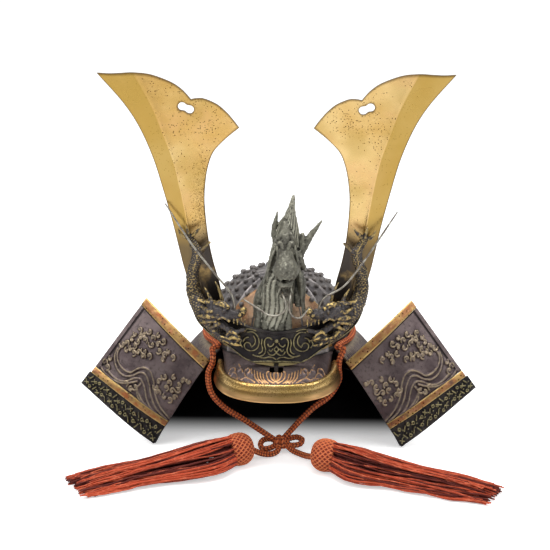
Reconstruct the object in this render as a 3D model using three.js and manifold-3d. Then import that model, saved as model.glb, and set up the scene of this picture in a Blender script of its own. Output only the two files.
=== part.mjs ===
// Ornamental kabuto helmet in cast bronze and gilt brass, in millimetres, +Z up.
// It stands on Z = 0 on the bottom band of its neck guard, and its front faces -Y.
// Sizes are measured from the bowl's upright axis. Turns round it start at the front.

import * as THREE from 'three';
import { mergeVertices } from 'three/addons/utils/BufferGeometryUtils.js';
import Module from 'manifold-3d';

const wasm = await Module();
wasm.setup();

// Clearance between pieces that touch
const SEAT_GAP = 0.3;

// Bowl
const BOWL_HALF_WIDTH = 58;
const BOWL_HALF_LENGTH = 63;
const BOWL_RIM_HEIGHT = 80;
const BOWL_HEIGHT = 58;
const BOWL_WALL = 2.2;
const BOWL_FULLNESS = 2.3;
const RIB_COUNT = 16;
const RIB_HEIGHT = 1.2;
const RIB_WIDTH = 2.6;
const STUD_RADIUS = 2.5;
const STUD_RISES = [0.26, 0.54];
const STUD_OPEN_TURN = 34;
const FRONT_PANEL_HEIGHT = 0.9;
const FRONT_PANEL_SINK = 3.1;
const PANEL_INNER_TURN = 4;
const PANEL_OUTER_TURN = 31;
const PANEL_TOP_TURN = 6;
const PANEL_LOW_RISE = 0.04;
const PANEL_HIGH_RISE = 0.5;

// Brow peak and its rim
const PEAK_ROOT_TURN = 50;
const PEAK_ROOT_LIFT = 1.2;
const PEAK_HALF_WIDTH = 47.3;
const PEAK_SIDE_BEHIND_BOWL = 13;
const PEAK_REACH = 47;
const PEAK_CURVE = 2.3;
const PEAK_FRONT_FALL = 10.6;
const PEAK_SIDE_LIFT = 4;
const PEAK_WALL = 2;
const PEAK_CROWN = 1.4;
const PEAK_SCROLL_THICKNESS = 1.5;
const RIM_INSET = 3.2;
const RIM_ROLL = 2.4;
const RIM_FLARE = 5;
const RIM_DROP = 11;
const SLOT_HALF_WIDTH = 5.6;
const SLOT_START = 0.24;
const PEAK_ROOM_WIDER = 1.03;
const PEAK_ROOM_OVER = 1.2;
const PEAK_ROOM_UNDER = 12;

// Crest plate
const CREST_HALF_WIDTH = 70;
const CREST_BEFORE_BOWL = 11;
const CREST_SWEEP = 26;
const CREST_BELOW_BOWL = 1;
const CREST_HEIGHT = 29.5;
const CREST_WALL = 2.6;
const CREST_EDGE_ROLL = 1.3;
const CREST_SCROLL_THICKNESS = 1.6;
const LUG_WIDTH = 3;
const LUG_REACH = 9;
const LUG_DROP = 14;

// Horns
const HORN_FOOT_BEHIND_BOWL = 19;
const HORN_FOOT_ABOVE_CREST = 39;
const HORN_LEAN = 10;
const HORN_BOTTOM_ABOVE_CREST = 19;
const HORN_TALL = 222;
const HORN_SPAN = 137.7;
const HORN_WALL = 2.4;
const HORN_CREASE = 2.4;
const HORN_TOP_SWELL = 16.5;
const HEART_EYE_LONG = 13;
const HEART_EYE_WIDE = 7;
const HEART_EYE_TILT = 24;
const HEART_EYE_ACROSS = 0.62;
const HEART_EYE_BELOW_TOP = 0.35;

// Side dragons
const SIDE_DRAGON_INNER = 22;
const SIDE_DRAGON_WIDE = 60;
const SIDE_DRAGON_ABOVE_CREST = 16;
const SIDE_DRAGON_TALL = 100;
const SIDE_DRAGON_DEEP = 20;
const SIDE_DRAGON_THICK = 10;

// Centre dragon
const DRAGON_HALF_WIDE = 36;
const DRAGON_ABOVE_CREST = 5;
const DRAGON_TALL = 134.5;
const DRAGON_BEFORE_BOWL = 27;
const DRAGON_THICK = 12;
const RIBBED_BASE_WIDE = 26;
const RIBBED_BASE_RIBS = 5;
const RIBBED_BASE_RIB_RADIUS = 3;

// Whisker wires
const WIRE_RADIUS = 0.8;

// Neck guard
const GUARD_WALL = 2.2;
const GUARD_TOP_LIFT = 2;
const GUARD_HALF_WIDTH = 116;
const GUARD_HALF_LENGTH = 116;
const GUARD_FLARE = 0.75;
const GUARD_OPEN_TOP = 52.5;
const GUARD_OPEN_BOTTOM = 64.4;
const LAME_COUNT = 3;
const LAME_STEP = 1.2;
const LAME_LIP = 0.012;
const HEM_HEIGHT = 15;
const HEM_WALL = 3;

// Turn-back flaps
const FLAP_TOP_DROP = 0.107;
const FLAP_BOTTOM_DROP = 0.985;
const FLAP_SEAT = 2.7;
const FLAP_TIP_OUT = 110.1;
const FLAP_TIP_FRONT = 15;
const FLAP_TIP_HEIGHT = 116.6;
const FLAP_FOOT_OUT = 163.7;
const FLAP_FOOT_FRONT = 36;
const FLAP_FOOT_HEIGHT = 47;
const FLAP_BULGE = 5;
const FLAP_WALL = 2.2;
const TRIM_WALL = 3.4;
const TOP_TRIM_WIDTH = 7.4;
const LOW_TRIM_WIDTH = 6;
const FLAP_HEM_INNER = 19;
const FLAP_HEM_OUTER = 12.5;
const FLAP_BORDER = 3;
const WAVE_THICKNESS = 1.9;
const FOAM_RADIUS = 2.2;
const LACE_RADIUS = 1.9;
const LACE_COUNT = 7;

// Cord, knot and tassels
const CORD_DIAMETER = 5;
const CORD_SIDES = 6;
const CORD_STEP = 14;
const CORD_GROOVE_TURN = 52;
const CORD_GROOVE_STEPS = 12;
const KNOT_RADIUS = 6.2;
const KNOT_NECK_RADIUS = 3.4;
const KNOT_EAR_RADIUS = 3.8;
const KNOT_EAR_LEAN = 40;
const TASSEL_HEAD_RADIUS = 13.2;
const TASSEL_HEAD_LONG = 17;
const TASSEL_LOCKS = 4;

// Cord routes, chosen by hand: across, back, up from the bowl's axis at the floor.
const CORD_GROOVE_OUT = 4.5;
const CORD_GROOVE_HEIGHT = 84.6;
const CORD_RIGHT = [
  [4.3, -60.4, 9.2], [28.6, -55, 34.8], [43, -50, 44.6], [50.8, -46.5, 58.2], [50.6, -46, 66],
  [50.8, -47, 75], [54, -42.5, 83.4],
];
const CORD_LEFT = [
  [-53.5, -44.5, 83.6], [-53, -50.5, 79.6], [-53.4, -52.3, 73.4], [-56.6, -52, 65.4],
  [-56.6, -52, 54.8], [-52.9, -54, 45], [-42.9, -56, 35.2], [-27.9, -60, 27], [-0.9, -61.9, 9],
];
const TAIL_LEFT = [
  [1.5, -64, 5.8], [0.6, -70.6, 3.4], [-4.6, -76, 2.9], [-12.2, -80, 5.2], [-21.5, -86.8, 12.4],
];
const TAIL_RIGHT = [
  [7.2, -62.5, 6.4], [12.5, -68.5, 3.6], [19.5, -75, 3.1], [25.5, -83.5, 4.8], [29.3, -91.5, 8],
  [32, -98.2, 12],
];

// Heights that follow the bowl's rim
const PEAK_FRONT_HEIGHT = BOWL_RIM_HEIGHT - PEAK_FRONT_FALL;
const CREST_BOTTOM = BOWL_RIM_HEIGHT - CREST_BELOW_BOWL;
const HORN_FOOT_HEIGHT = CREST_BOTTOM + HORN_FOOT_ABOVE_CREST;
const HORN_BOTTOM = CREST_BOTTOM + HORN_BOTTOM_ABOVE_CREST;
const SIDE_DRAGON_LOW = CREST_BOTTOM + SIDE_DRAGON_ABOVE_CREST;
const DRAGON_LOW = CREST_BOTTOM + DRAGON_ABOVE_CREST;

// Depths that follow the bowl's front
const PEAK_SIDE_FRONT = BOWL_HALF_LENGTH - PEAK_SIDE_BEHIND_BOWL;
const CREST_FRONT = BOWL_HALF_LENGTH + CREST_BEFORE_BOWL;
const HORN_FOOT_FRONT = BOWL_HALF_LENGTH - HORN_FOOT_BEHIND_BOWL;
const DRAGON_DEEP = BOWL_HALF_LENGTH + DRAGON_BEFORE_BOWL;

const { degToRad, lerp } = THREE.MathUtils;

// Joining, cutting and closed bodies

function outwardGeometry(points, faces) {
  let volume = 0;
  for (let i = 0; i < faces.length; i += 3) {
    const [a, b, c] = [points[faces[i]], points[faces[i + 1]], points[faces[i + 2]]];
    volume += a.dot(b.clone().cross(c));
  }
  const ordered = volume > 0 ? faces : faces.slice().reverse();
  const numbers = points.flatMap((p) => p.toArray());
  const geometry = new THREE.BufferGeometry();
  geometry.setAttribute('position', new THREE.Float32BufferAttribute(numbers, 3));
  geometry.setIndex(ordered);
  return geometry;
}

function solidOf(source) {
  const bare = source.clone();
  bare.deleteAttribute('normal');
  bare.deleteAttribute('uv');
  const geometry = mergeVertices(bare, 1e-4);
  const points = [];
  const position = geometry.getAttribute('position');
  for (let i = 0; i < position.count; i += 1) {
    points.push(new THREE.Vector3().fromBufferAttribute(position, i));
  }
  const outward = outwardGeometry(points, Array.from(geometry.getIndex().array));
  return new wasm.Manifold(new wasm.Mesh({
    numProp: 3,
    vertProperties: outward.getAttribute('position').array,
    triVerts: Uint32Array.from(outward.getIndex().array),
  }));
}

const join = (geometries) => geometries.map(solidOf).reduce((all, next) => all.add(next));
const cut = (solid, cutters) => cutters.reduce((rest, cutter) => rest.subtract(solidOf(cutter)), solid);

function geometryOf(solid) {
  const { vertProperties, triVerts } = solid.getMesh();
  const geometry = new THREE.BufferGeometry();
  geometry.setAttribute('position', new THREE.BufferAttribute(vertProperties, 3));
  geometry.setIndex(new THREE.BufferAttribute(triVerts, 1));
  geometry.computeVertexNormals();
  return geometry;
}

// The casting itself, without the crumbs that room cut for its neighbours leaves beside it.
function mainBody(solid) {
  const bodies = solid.decompose();
  return bodies.reduce((best, next) => (next.volume() > best.volume() ? next : best));
}

// Closed body through rings of equal count, each end closed by a fan round its middle.
function loft(rings) {
  const count = rings[0].length;
  const points = rings.flat();
  const faces = [];
  for (let j = 0; j + 1 < rings.length; j += 1) {
    for (let i = 0; i < count; i += 1) {
      const a = j * count + i;
      const b = j * count + ((i + 1) % count);
      faces.push(a, b, b + count, a, b + count, a + count);
    }
  }
  for (const [start, flip] of [[0, true], [(rings.length - 1) * count, false]]) {
    const middle = points.length;
    const ring = points.slice(start, start + count);
    points.push(ring.reduce((sum, p) => sum.add(p), new THREE.Vector3()).divideScalar(count));
    for (let i = 0; i < count; i += 1) {
      const a = start + i;
      const b = start + ((i + 1) % count);
      faces.push(...(flip ? [middle, b, a] : [middle, a, b]));
    }
  }
  return outwardGeometry(points, faces);
}

// Closed plate between a front and a back surface, each worked out at shares u and v.
function plate(us, vs, front, back) {
  const points = [];
  for (const surface of [front, back]) {
    for (const v of vs) {
      for (const u of us) {
        points.push(surface(u, v));
      }
    }
  }
  const at = (face, i, j) => (face * vs.length + j) * us.length + i;
  const faces = [];
  const quad = (a, b, c, d) => faces.push(a, b, c, a, c, d);
  const [lastU, lastV] = [us.length - 1, vs.length - 1];
  for (let j = 0; j < lastV; j += 1) {
    for (let i = 0; i < lastU; i += 1) {
      quad(at(0, i, j), at(0, i + 1, j), at(0, i + 1, j + 1), at(0, i, j + 1));
      quad(at(1, i, j), at(1, i, j + 1), at(1, i + 1, j + 1), at(1, i + 1, j));
    }
    quad(at(0, 0, j), at(0, 0, j + 1), at(1, 0, j + 1), at(1, 0, j));
    quad(at(0, lastU, j), at(1, lastU, j), at(1, lastU, j + 1), at(0, lastU, j + 1));
  }
  for (let i = 0; i < lastU; i += 1) {
    quad(at(0, i, 0), at(1, i, 0), at(1, i + 1, 0), at(0, i + 1, 0));
    quad(at(0, i, lastV), at(0, i + 1, lastV), at(1, i + 1, lastV), at(1, i, lastV));
  }
  return outwardGeometry(points, faces);
}

const shares = (count, from = 0, to = 1) => (
  Array.from({ length: count + 1 }, (_, i) => lerp(from, to, i / count))
);

// Round limb through stations, each with its own radius; it ends in a flat face.
function limb(stations, sides, steps) {
  const curve = new THREE.CatmullRomCurve3(stations.map(({ place }) => place));
  const frames = curve.computeFrenetFrames(steps);
  const rings = shares(steps).map((share, j) => {
    const along = curve.getUtoTmapping(share) * (stations.length - 1);
    const low = Math.min(Math.floor(along), stations.length - 2);
    const radius = lerp(stations[low].radius, stations[low + 1].radius, along - low);
    const middle = curve.getPointAt(share);
    return shares(sides).slice(0, sides).map((turn) => middle.clone()
      .addScaledVector(frames.normals[j], radius * Math.cos(turn * 2 * Math.PI))
      .addScaledVector(frames.binormals[j], radius * Math.sin(turn * 2 * Math.PI)));
  });
  return loft(rings);
}

// Even tube along hand-chosen points.
function tube(places, radius, sides, steps) {
  const section = new THREE.Shape(shares(sides).slice(0, sides).map((turn) => new THREE.Vector2(
    radius * Math.cos(turn * 2 * Math.PI),
    radius * Math.sin(turn * 2 * Math.PI),
  )));
  const extrudePath = new THREE.CatmullRomCurve3(places);
  return new THREE.ExtrudeGeometry(section, { steps, extrudePath, bevelEnabled: false });
}

const ball = (place, radius, round = 7, tall = 4) => (
  new THREE.SphereGeometry(radius, round, tall).translate(...place.toArray())
);

// Bowl

const signedPower = (value, power) => Math.sign(value) * Math.abs(value) ** power;

function bowlPoint(turn, rise, outset) {
  const power = 2 / BOWL_FULLNESS;
  const out = signedPower(Math.cos(rise * Math.PI / 2), power);
  return new THREE.Vector3(
    (BOWL_HALF_WIDTH + outset) * out * Math.sin(turn),
    -(BOWL_HALF_LENGTH + outset) * out * Math.cos(turn),
    BOWL_RIM_HEIGHT + (BOWL_HEIGHT + outset) * signedPower(Math.sin(rise * Math.PI / 2), power),
  );
}

// Closed dome whose flat bottom lies the given depth under the rim.
function dome(turns, rises, outsetAt, depth) {
  const rings = rises.map((rise) => turns.map((turn, i) => bowlPoint(turn, rise, outsetAt(i, rise))));
  const skirt = rings[0].map((p) => p.clone().setZ(p.z - depth));
  return loft([skirt, ...rings]);
}

const DOME_RISES = [0, ...STUD_RISES, 0.79, 0.96];

function bowlBody(outset = 0) {
  const ribTurn = RIB_WIDTH / 2 / BOWL_HALF_WIDTH;
  const turns = shares(RIB_COUNT).slice(0, RIB_COUNT).flatMap((share) => [
    share * 2 * Math.PI - ribTurn, share * 2 * Math.PI, share * 2 * Math.PI + ribTurn,
    (share + 0.5 / RIB_COUNT) * 2 * Math.PI,
  ]);
  const ridge = (i, rise) => outset + (i % 4 === 1 ? RIB_HEIGHT * Math.min(1, 1.2 - rise) : 0);
  return dome(turns, DOME_RISES, ridge, outset);
}

function bowl() {
  const turns = shares(2 * RIB_COUNT).slice(0, 2 * RIB_COUNT).map((share) => share * 2 * Math.PI);
  const inside = dome(turns, DOME_RISES, () => -BOWL_WALL, BOWL_WALL);
  const studs = [];
  for (let i = 0; i < RIB_COUNT; i += 1) {
    const turn = (i + 0.5) / RIB_COUNT * 2 * Math.PI;
    const fromFront = Math.min(turn, 2 * Math.PI - turn);
    if (fromFront > degToRad(STUD_OPEN_TURN)) {
      STUD_RISES.forEach((rise) => studs.push(ball(bowlPoint(turn, rise, 0.6), STUD_RADIUS, 4, 2)));
    }
  }
  return cut(join([bowlBody(), ...[-1, 1].map((side) => frontPanel(side)), ...studs]), [inside]);
}

// Room that the castings in front leave for the bowl and its panels.
const bowlRoom = () => [bowlBody(RIB_HEIGHT + SEAT_GAP), frontPanel(-1, SEAT_GAP), frontPanel(1, SEAT_GAP)];

// Pale gilt panel with a pointed top beside the centre dragon, fused to the bowl.
function frontPanel(side, swell = 0) {
  const wider = swell / BOWL_HALF_WIDTH * 2;
  const place = (u, v, outset) => {
    const outer = lerp(PANEL_OUTER_TURN, PANEL_INNER_TURN + PANEL_TOP_TURN, v ** 1.4);
    const turn = degToRad(lerp(PANEL_INNER_TURN, outer, u)) + lerp(-wider, wider, u);
    const rise = lerp(PANEL_LOW_RISE - wider, PANEL_HIGH_RISE + wider, v);
    return bowlPoint(side * turn, rise, outset);
  };
  return plate(
    shares(4),
    shares(4),
    (u, v) => place(u, v, FRONT_PANEL_HEIGHT + swell),
    (u, v) => place(u, v, -FRONT_PANEL_SINK),
  );
}

// Brow peak

const peakDepth = (turn) => Math.abs(Math.cos(turn)) ** (2 / PEAK_CURVE);

// Ridge line of the peak, at a share from -1 on the left to 1 on the right.
function ridgePoint(share) {
  const turn = share * Math.PI / 2;
  const depth = peakDepth(turn);
  return new THREE.Vector3(
    PEAK_HALF_WIDTH * signedPower(Math.sin(turn), 2 / PEAK_CURVE),
    -PEAK_SIDE_FRONT - PEAK_REACH * depth,
    PEAK_FRONT_HEIGHT + PEAK_SIDE_LIFT * (1 - depth) ** 2,
  );
}

function ridgeOutward(share) {
  const step = 0.01;
  const along = ridgePoint(Math.min(1, share + step)).sub(ridgePoint(Math.max(-1, share - step)));
  return new THREE.Vector3(along.y, -along.x, 0).normalize();
}

function rimPoint(share, out, up) {
  return ridgePoint(share).addScaledVector(ridgeOutward(share), out).add(new THREE.Vector3(0, 0, up));
}

function peakPoint(share, v, lift) {
  const turn = share * degToRad(PEAK_ROOT_TURN);
  const root = bowlPoint(turn, 0, SEAT_GAP + RIB_HEIGHT).setZ(BOWL_RIM_HEIGHT + PEAK_ROOT_LIFT);
  const edge = rimPoint(share, -RIM_INSET - SEAT_GAP, 0);
  return root.lerp(edge, v).add(new THREE.Vector3(0, 0, lift + PEAK_CROWN * Math.sin(v * Math.PI)));
}

// Scrolls on one half of the peak and of the crest: where each curls, and how large it is.
const PEAK_SCROLLS = [
  { across: 0.16, v: 0.84, size: 5.2, way: 1 }, { across: 0.32, v: 0.7, size: 5.6, way: -1 },
  { across: 0.5, v: 0.82, size: 5, way: 1 },
];
const CREST_SCROLLS = [
  { across: 0.1, v: 0.62, size: 4.6, way: 1 }, { across: 0.24, v: 0.48, size: 6, way: -1 },
];

// Places of one scroll on a surface: one and a quarter turns that tighten inwards.
function scrollPlaces({ across, v, size, way }, side, surface) {
  return shares(6).map((t) => {
    const angle = way * (0.4 + t * 1.25) * 2 * Math.PI;
    const radius = size * lerp(1, 0.25, t);
    return surface(side * across, v, side * radius * Math.cos(angle), radius * Math.sin(angle));
  });
}

function scrolls(rows, thickness, surface) {
  return [-1, 1].flatMap((side) => rows.map((row) => (
    tube(scrollPlaces(row, side, surface), thickness / 2, 3, 6)
  )));
}

function peak() {
  const across = shares(14, -1, 1);
  const deep = shares(2);
  const body = plate(across, deep, (u, v) => peakPoint(u, v, 0), (u, v) => peakPoint(u, v, -PEAK_WALL));
  const onPeak = (share, v, right, up) => (
    peakPoint(share + right / PEAK_HALF_WIDTH / 1.6, v - up / PEAK_REACH, 0.1)
  );
  const slotBack = peakPoint(0, SLOT_START, 0).y;
  const slotLong = LUG_REACH + 2 * SEAT_GAP;
  const slot = new THREE.BoxGeometry(2 * SLOT_HALF_WIDTH, slotLong, PEAK_REACH)
    .translate(0, slotBack - slotLong / 2, PEAK_FRONT_HEIGHT);
  return cut(join([body, ...scrolls(PEAK_SCROLLS, PEAK_SCROLL_THICKNESS, onPeak)]), [slot]);
}

// Section of the rim: out as shares of its flare, up as shares of its drop.
const RIM_SECTION = [
  { out: -0.64, up: 0.02 }, { out: -0.3, up: 0.19 }, { out: 0.2, up: 0.19 }, { out: 0.5, up: -0.13 },
  { out: 1, up: -1 }, { out: 0.66, up: -1 }, { out: 0.1, up: -0.26 }, { out: -0.64, up: -0.17 },
];

function peakRim() {
  return join([loft(shares(18, -1, 1).map((share) => (
    RIM_SECTION.map(({ out, up }) => rimPoint(share, out * RIM_FLARE, up * RIM_DROP))
  )))]);
}

// Crest plate

const crestFront = (across) => -CREST_FRONT + CREST_SWEEP * (across / CREST_HALF_WIDTH) ** 2;

// Lower and upper edge of the crest plate: shares of its half width and of its height.
const CREST_SECTIONS = [
  { across: 0, low: 0, high: 1 }, { across: 0.3, low: 0.1, high: 1.12 },
  { across: 0.56, low: 0.47, high: 1.35 }, { across: 0.8, low: 0.75, high: 1.5 },
  { across: 0.93, low: 1.02, high: 1.6 }, { across: 1, low: 1.36, high: 1.62 },
];

function crestEdge(across, edge) {
  const share = Math.min(1, Math.abs(across) / CREST_HALF_WIDTH);
  const next = Math.max(1, CREST_SECTIONS.findIndex((row) => row.across >= share));
  const [a, b] = [CREST_SECTIONS[next - 1], CREST_SECTIONS[next]];
  const mix = (share - a.across) / (b.across - a.across);
  return CREST_BOTTOM + CREST_HEIGHT * lerp(a[edge], b[edge], mix);
}

function crestPoint(across, v, out) {
  const height = lerp(crestEdge(across, 'low'), crestEdge(across, 'high'), v);
  return new THREE.Vector3(across, crestFront(across) - out, height);
}

const CREST_COLUMNS = shares(16, -CREST_HALF_WIDTH, CREST_HALF_WIDTH);

function crestBody(swell = 0) {
  const columns = CREST_COLUMNS.map((across) => across * (1 + swell / CREST_HALF_WIDTH));
  const place = (u, v, out) => crestPoint(u, v, out).add(new THREE.Vector3(0, 0, lerp(-swell, swell, v)));
  return plate(columns, [0, 1], (u, v) => place(u, v, swell), (u, v) => place(u, v, -CREST_WALL - swell));
}

function crestPlate() {
  const roll = (v) => tube(CREST_COLUMNS.map((across) => crestPoint(across, v, 0)), CREST_EDGE_ROLL, 4, 12);
  const onCrest = (share, v, right, up) => (
    crestPoint(share * CREST_HALF_WIDTH + right, v + up / CREST_HEIGHT, 0)
  );
  const lug = new THREE.BoxGeometry(LUG_WIDTH, LUG_REACH, LUG_DROP).translate(
    0,
    peakPoint(0, SLOT_START, 0).y - SEAT_GAP - LUG_REACH / 2,
    CREST_BOTTOM + 3 - LUG_DROP / 2,
  );
  const scrolled = scrolls(CREST_SCROLLS, CREST_SCROLL_THICKNESS, onCrest);
  return cut(
    join([crestBody(), roll(0), roll(1), lug, ...scrolled]),
    [hornBody(-1, SEAT_GAP), hornBody(1, SEAT_GAP)],
  );
}

// Horns

// Edges of a horn from its foot to its tips: shares of the span across and of its height.
const HORN_SECTIONS = [
  { outerOut: 0.42, outerUp: 0, innerOut: 0.345, innerUp: 0, crease: 0.4 },
  { outerOut: 0.495, outerUp: 0.075, innerOut: 0.325, innerUp: 0.07, crease: 0.4 },
  { outerOut: 0.521, outerUp: 0.178, innerOut: 0.338, innerUp: 0.177, crease: 0.4 },
  { outerOut: 0.554, outerUp: 0.268, innerOut: 0.378, innerUp: 0.285, crease: 0.41 },
  { outerOut: 0.577, outerUp: 0.341, innerOut: 0.402, innerUp: 0.376, crease: 0.42 },
  { outerOut: 0.61, outerUp: 0.445, innerOut: 0.418, innerUp: 0.51, crease: 0.42 },
  { outerOut: 0.657, outerUp: 0.57, innerOut: 0.409, innerUp: 0.58, crease: 0.4 },
  { outerOut: 0.704, outerUp: 0.683, innerOut: 0.39, innerUp: 0.633, crease: 0.37 },
  { outerOut: 0.773, outerUp: 0.797, innerOut: 0.357, innerUp: 0.7, crease: 0.33 },
  { outerOut: 0.853, outerUp: 0.885, innerOut: 0.293, innerUp: 0.743, crease: 0.29 },
  { outerOut: 1, outerUp: 1, innerOut: 0.211, innerUp: 0.801, crease: 0.26 },
];

// Swell of the top edge above the line between the tips, with the notch in it.
const HORN_TOP = [
  { across: 0, swell: 0 }, { across: 0.16, swell: 0.48 }, { across: 0.36, swell: 1 },
  { across: 0.6, swell: 0.87 }, { across: 0.66, swell: 0.5 }, { across: 0.72, swell: 0.66 },
  { across: 0.8, swell: 0.78 }, { across: 0.92, swell: 0.46 }, { across: 1, swell: 0 },
];

const hornFront = (height) => (
  -HORN_FOOT_FRONT - (height - HORN_FOOT_HEIGHT) * Math.tan(degToRad(HORN_LEAN))
);

// Point on a horn: u runs from the outer to the inner edge, row from the foot to the tips.
function hornPoint(side, u, row, out) {
  const low = Math.min(Math.floor(row), HORN_SECTIONS.length - 1);
  const high = Math.min(low + 1, HORN_SECTIONS.length - 1);
  const at = (key) => lerp(HORN_SECTIONS[low][key], HORN_SECTIONS[high][key], row - low);
  const across = HORN_SPAN * lerp(at('outerOut'), at('innerOut'), u);
  const crease = at('crease');
  const tent = u < crease ? u / crease : (1 - u) / (1 - crease);
  const top = HORN_TOP.find((next) => next.across >= u - 1e-6).swell;
  const grow = Math.max(0, row - HORN_SECTIONS.length + 3) / 2;
  const height = HORN_BOTTOM + HORN_TALL * lerp(at('outerUp'), at('innerUp'), u)
    + HORN_TOP_SWELL * top * grow ** 1.5;
  return new THREE.Vector3(side * across, hornFront(height) - out - HORN_CREASE * tent, height);
}

function hornBody(side, swell = 0) {
  const rows = HORN_SECTIONS.map((_, i) => i);
  const us = HORN_TOP.map(({ across }) => across);
  const place = (u, row, out) => {
    const aside = new THREE.Vector3(-side * lerp(-swell, swell, u), 0, 0);
    return hornPoint(side, u, row, out).add(aside);
  };
  return plate(us, rows, (u, row) => place(u, row, swell), (u, row) => place(u, row, -HORN_WALL - swell));
}

// Half outline of the two-lobed eye, as shares of its length and width.
const HEART_EYE = [
  { along: -0.5, wide: 0 }, { along: -0.42, wide: 0.36 }, { along: -0.24, wide: 0.5 },
  { along: 0.02, wide: 0.4 }, { along: 0.26, wide: 0.5 }, { along: 0.43, wide: 0.36 },
  { along: 0.5, wide: 0 },
];

function horn(side) {
  const half = HEART_EYE.map(({ along, wide }) => new THREE.Vector2(
    -side * along * HEART_EYE_LONG,
    wide * HEART_EYE_WIDE,
  ));
  const mirrored = half.slice(1, -1).reverse().map((p) => new THREE.Vector2(p.x, -p.y));
  const eye = new THREE.ExtrudeGeometry(new THREE.Shape([...half, ...mirrored]), {
    depth: HORN_SPAN, bevelEnabled: false,
  });
  eye.rotateX(Math.PI / 2);
  eye.rotateY(-side * degToRad(HEART_EYE_TILT));
  const middle = hornPoint(side, HEART_EYE_ACROSS, HORN_SECTIONS.length - 1 - HEART_EYE_BELOW_TOP, 0);
  eye.translate(middle.x, middle.y + HORN_SPAN / 2, middle.z);
  return cut(join([hornBody(side)]), [eye]);
}

// Dragons

// Stations of a dragon's limbs: across, up and out from the seat as shares of its size, and
// thickness as a share of its thickest part.
const SIDE_DRAGON_LIMBS = {
  body: [
    [0.805, 0.89, 0.14, 0.26], [0.7, 0.76, 0.16, 0.42], [0.765, 0.583, 0.14, 0.48],
    [0.765, 0.406, 0.16, 0.58], [0.66, 0.27, 0.2, 0.66], [0.517, 0.16, 0.18, 0.56],
    [0.383, 0.075, 0.16, 0.46], [0.24, 0.06, 0.16, 0.36],
  ],
  skull: [[0.6, 0.26, 0.24, 0.6], [0.4, 0.3, 0.3, 0.7], [0.18, 0.29, 0.34, 0.44], [0.06, 0.32, 0.36, 0.34]],
  jaw: [[0.42, 0.2, 0.28, 0.42], [0.22, 0.14, 0.34, 0.3], [0.04, 0.17, 0.38, 0.18]],
  brow: [[0.48, 0.35, 0.38, 0.2], [0.37, 0.372, 0.5, 0.3], [0.26, 0.345, 0.52, 0.2]],
  antler: [[0.45, 0.36, 0.3, 0.26], [0.64, 0.352, 0.3, 0.22], [0.82, 0.375, 0.24, 0.08]],
  spine: [[0.5, 0.34, 0.2, 0.2], [0.55, 0.41, 0.2, 0.14], [0.61, 0.455, 0.2, 0.06]],
  upperTuft: [[0.42, 0.3, 0.5, 0.26], [0.55, 0.3, 0.6, 0.26], [0.64, 0.318, 0.54, 0.08]],
  middleTuft: [[0.42, 0.26, 0.5, 0.26], [0.56, 0.25, 0.66, 0.26], [0.7, 0.235, 0.6, 0.08]],
  pawUpper: [[0.3, 0.09, 0.28, 0.2], [0.24, 0.145, 0.44, 0.18], [0.14, 0.12, 0.54, 0.06]],
  pawMiddle: [[0.3, 0.06, 0.28, 0.2], [0.2, 0.1, 0.5, 0.2], [0.08, 0.085, 0.5, 0.06]],
  clawOuter: [[0.8, 0.87, 0.14, 0.2], [0.9, 0.91, 0.2, 0.16], [0.95, 0.965, 0.16, 0.05]],
  clawMiddle: [[0.8, 0.88, 0.14, 0.2], [0.82, 0.95, 0.22, 0.16], [0.84, 0.995, 0.16, 0.05]],
  clawInner: [[0.79, 0.88, 0.14, 0.2], [0.7, 0.94, 0.22, 0.16], [0.64, 0.98, 0.16, 0.05]],
};
const THICK_LIMBS = ['body', 'skull', 'jaw'];

function sideDragonPlace(side, across, up, out) {
  const x = SIDE_DRAGON_INNER + across * SIDE_DRAGON_WIDE;
  const z = SIDE_DRAGON_LOW + up * SIDE_DRAGON_TALL;
  const seat = Math.min(crestFront(x), hornFront(z) - HORN_CREASE / 2);
  return new THREE.Vector3(side * x, seat - out * SIDE_DRAGON_DEEP, z);
}

function sideDragon(side) {
  const parts = Object.entries(SIDE_DRAGON_LIMBS).map(([name, rows]) => {
    const stations = rows.map(([across, up, out, thick]) => ({
      place: sideDragonPlace(side, across, up, out),
      radius: thick * SIDE_DRAGON_THICK,
    }));
    return THICK_LIMBS.includes(name) ? limb(stations, 5, stations.length) : limb(stations, 3, 2);
  });
  const pearl = ball(sideDragonPlace(side, 0.17, 0.083, 0.3), 3.6, 6, 4);
  const nose = ball(sideDragonPlace(side, 0.07, 0.335, 0.42), 3.3, 6, 4);
  return mainBody(cut(join([...parts, pearl, nose]), [
    crestBody(CREST_EDGE_ROLL + SEAT_GAP), hornBody(side, SEAT_GAP), ...bowlRoom(),
    wireBody(sideWire(side), SEAT_GAP), peakRoom(),
  ]));
}

// Room that the castings leave for the peak and its root.
function peakRoom() {
  const place = (u, v, lift) => peakPoint(u * PEAK_ROOM_WIDER, v, lift);
  return plate(
    shares(12, -1, 1),
    shares(3),
    (u, v) => place(u, v, PEAK_ROOM_OVER),
    (u, v) => place(u, v, -PEAK_ROOM_UNDER),
  );
}

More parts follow.
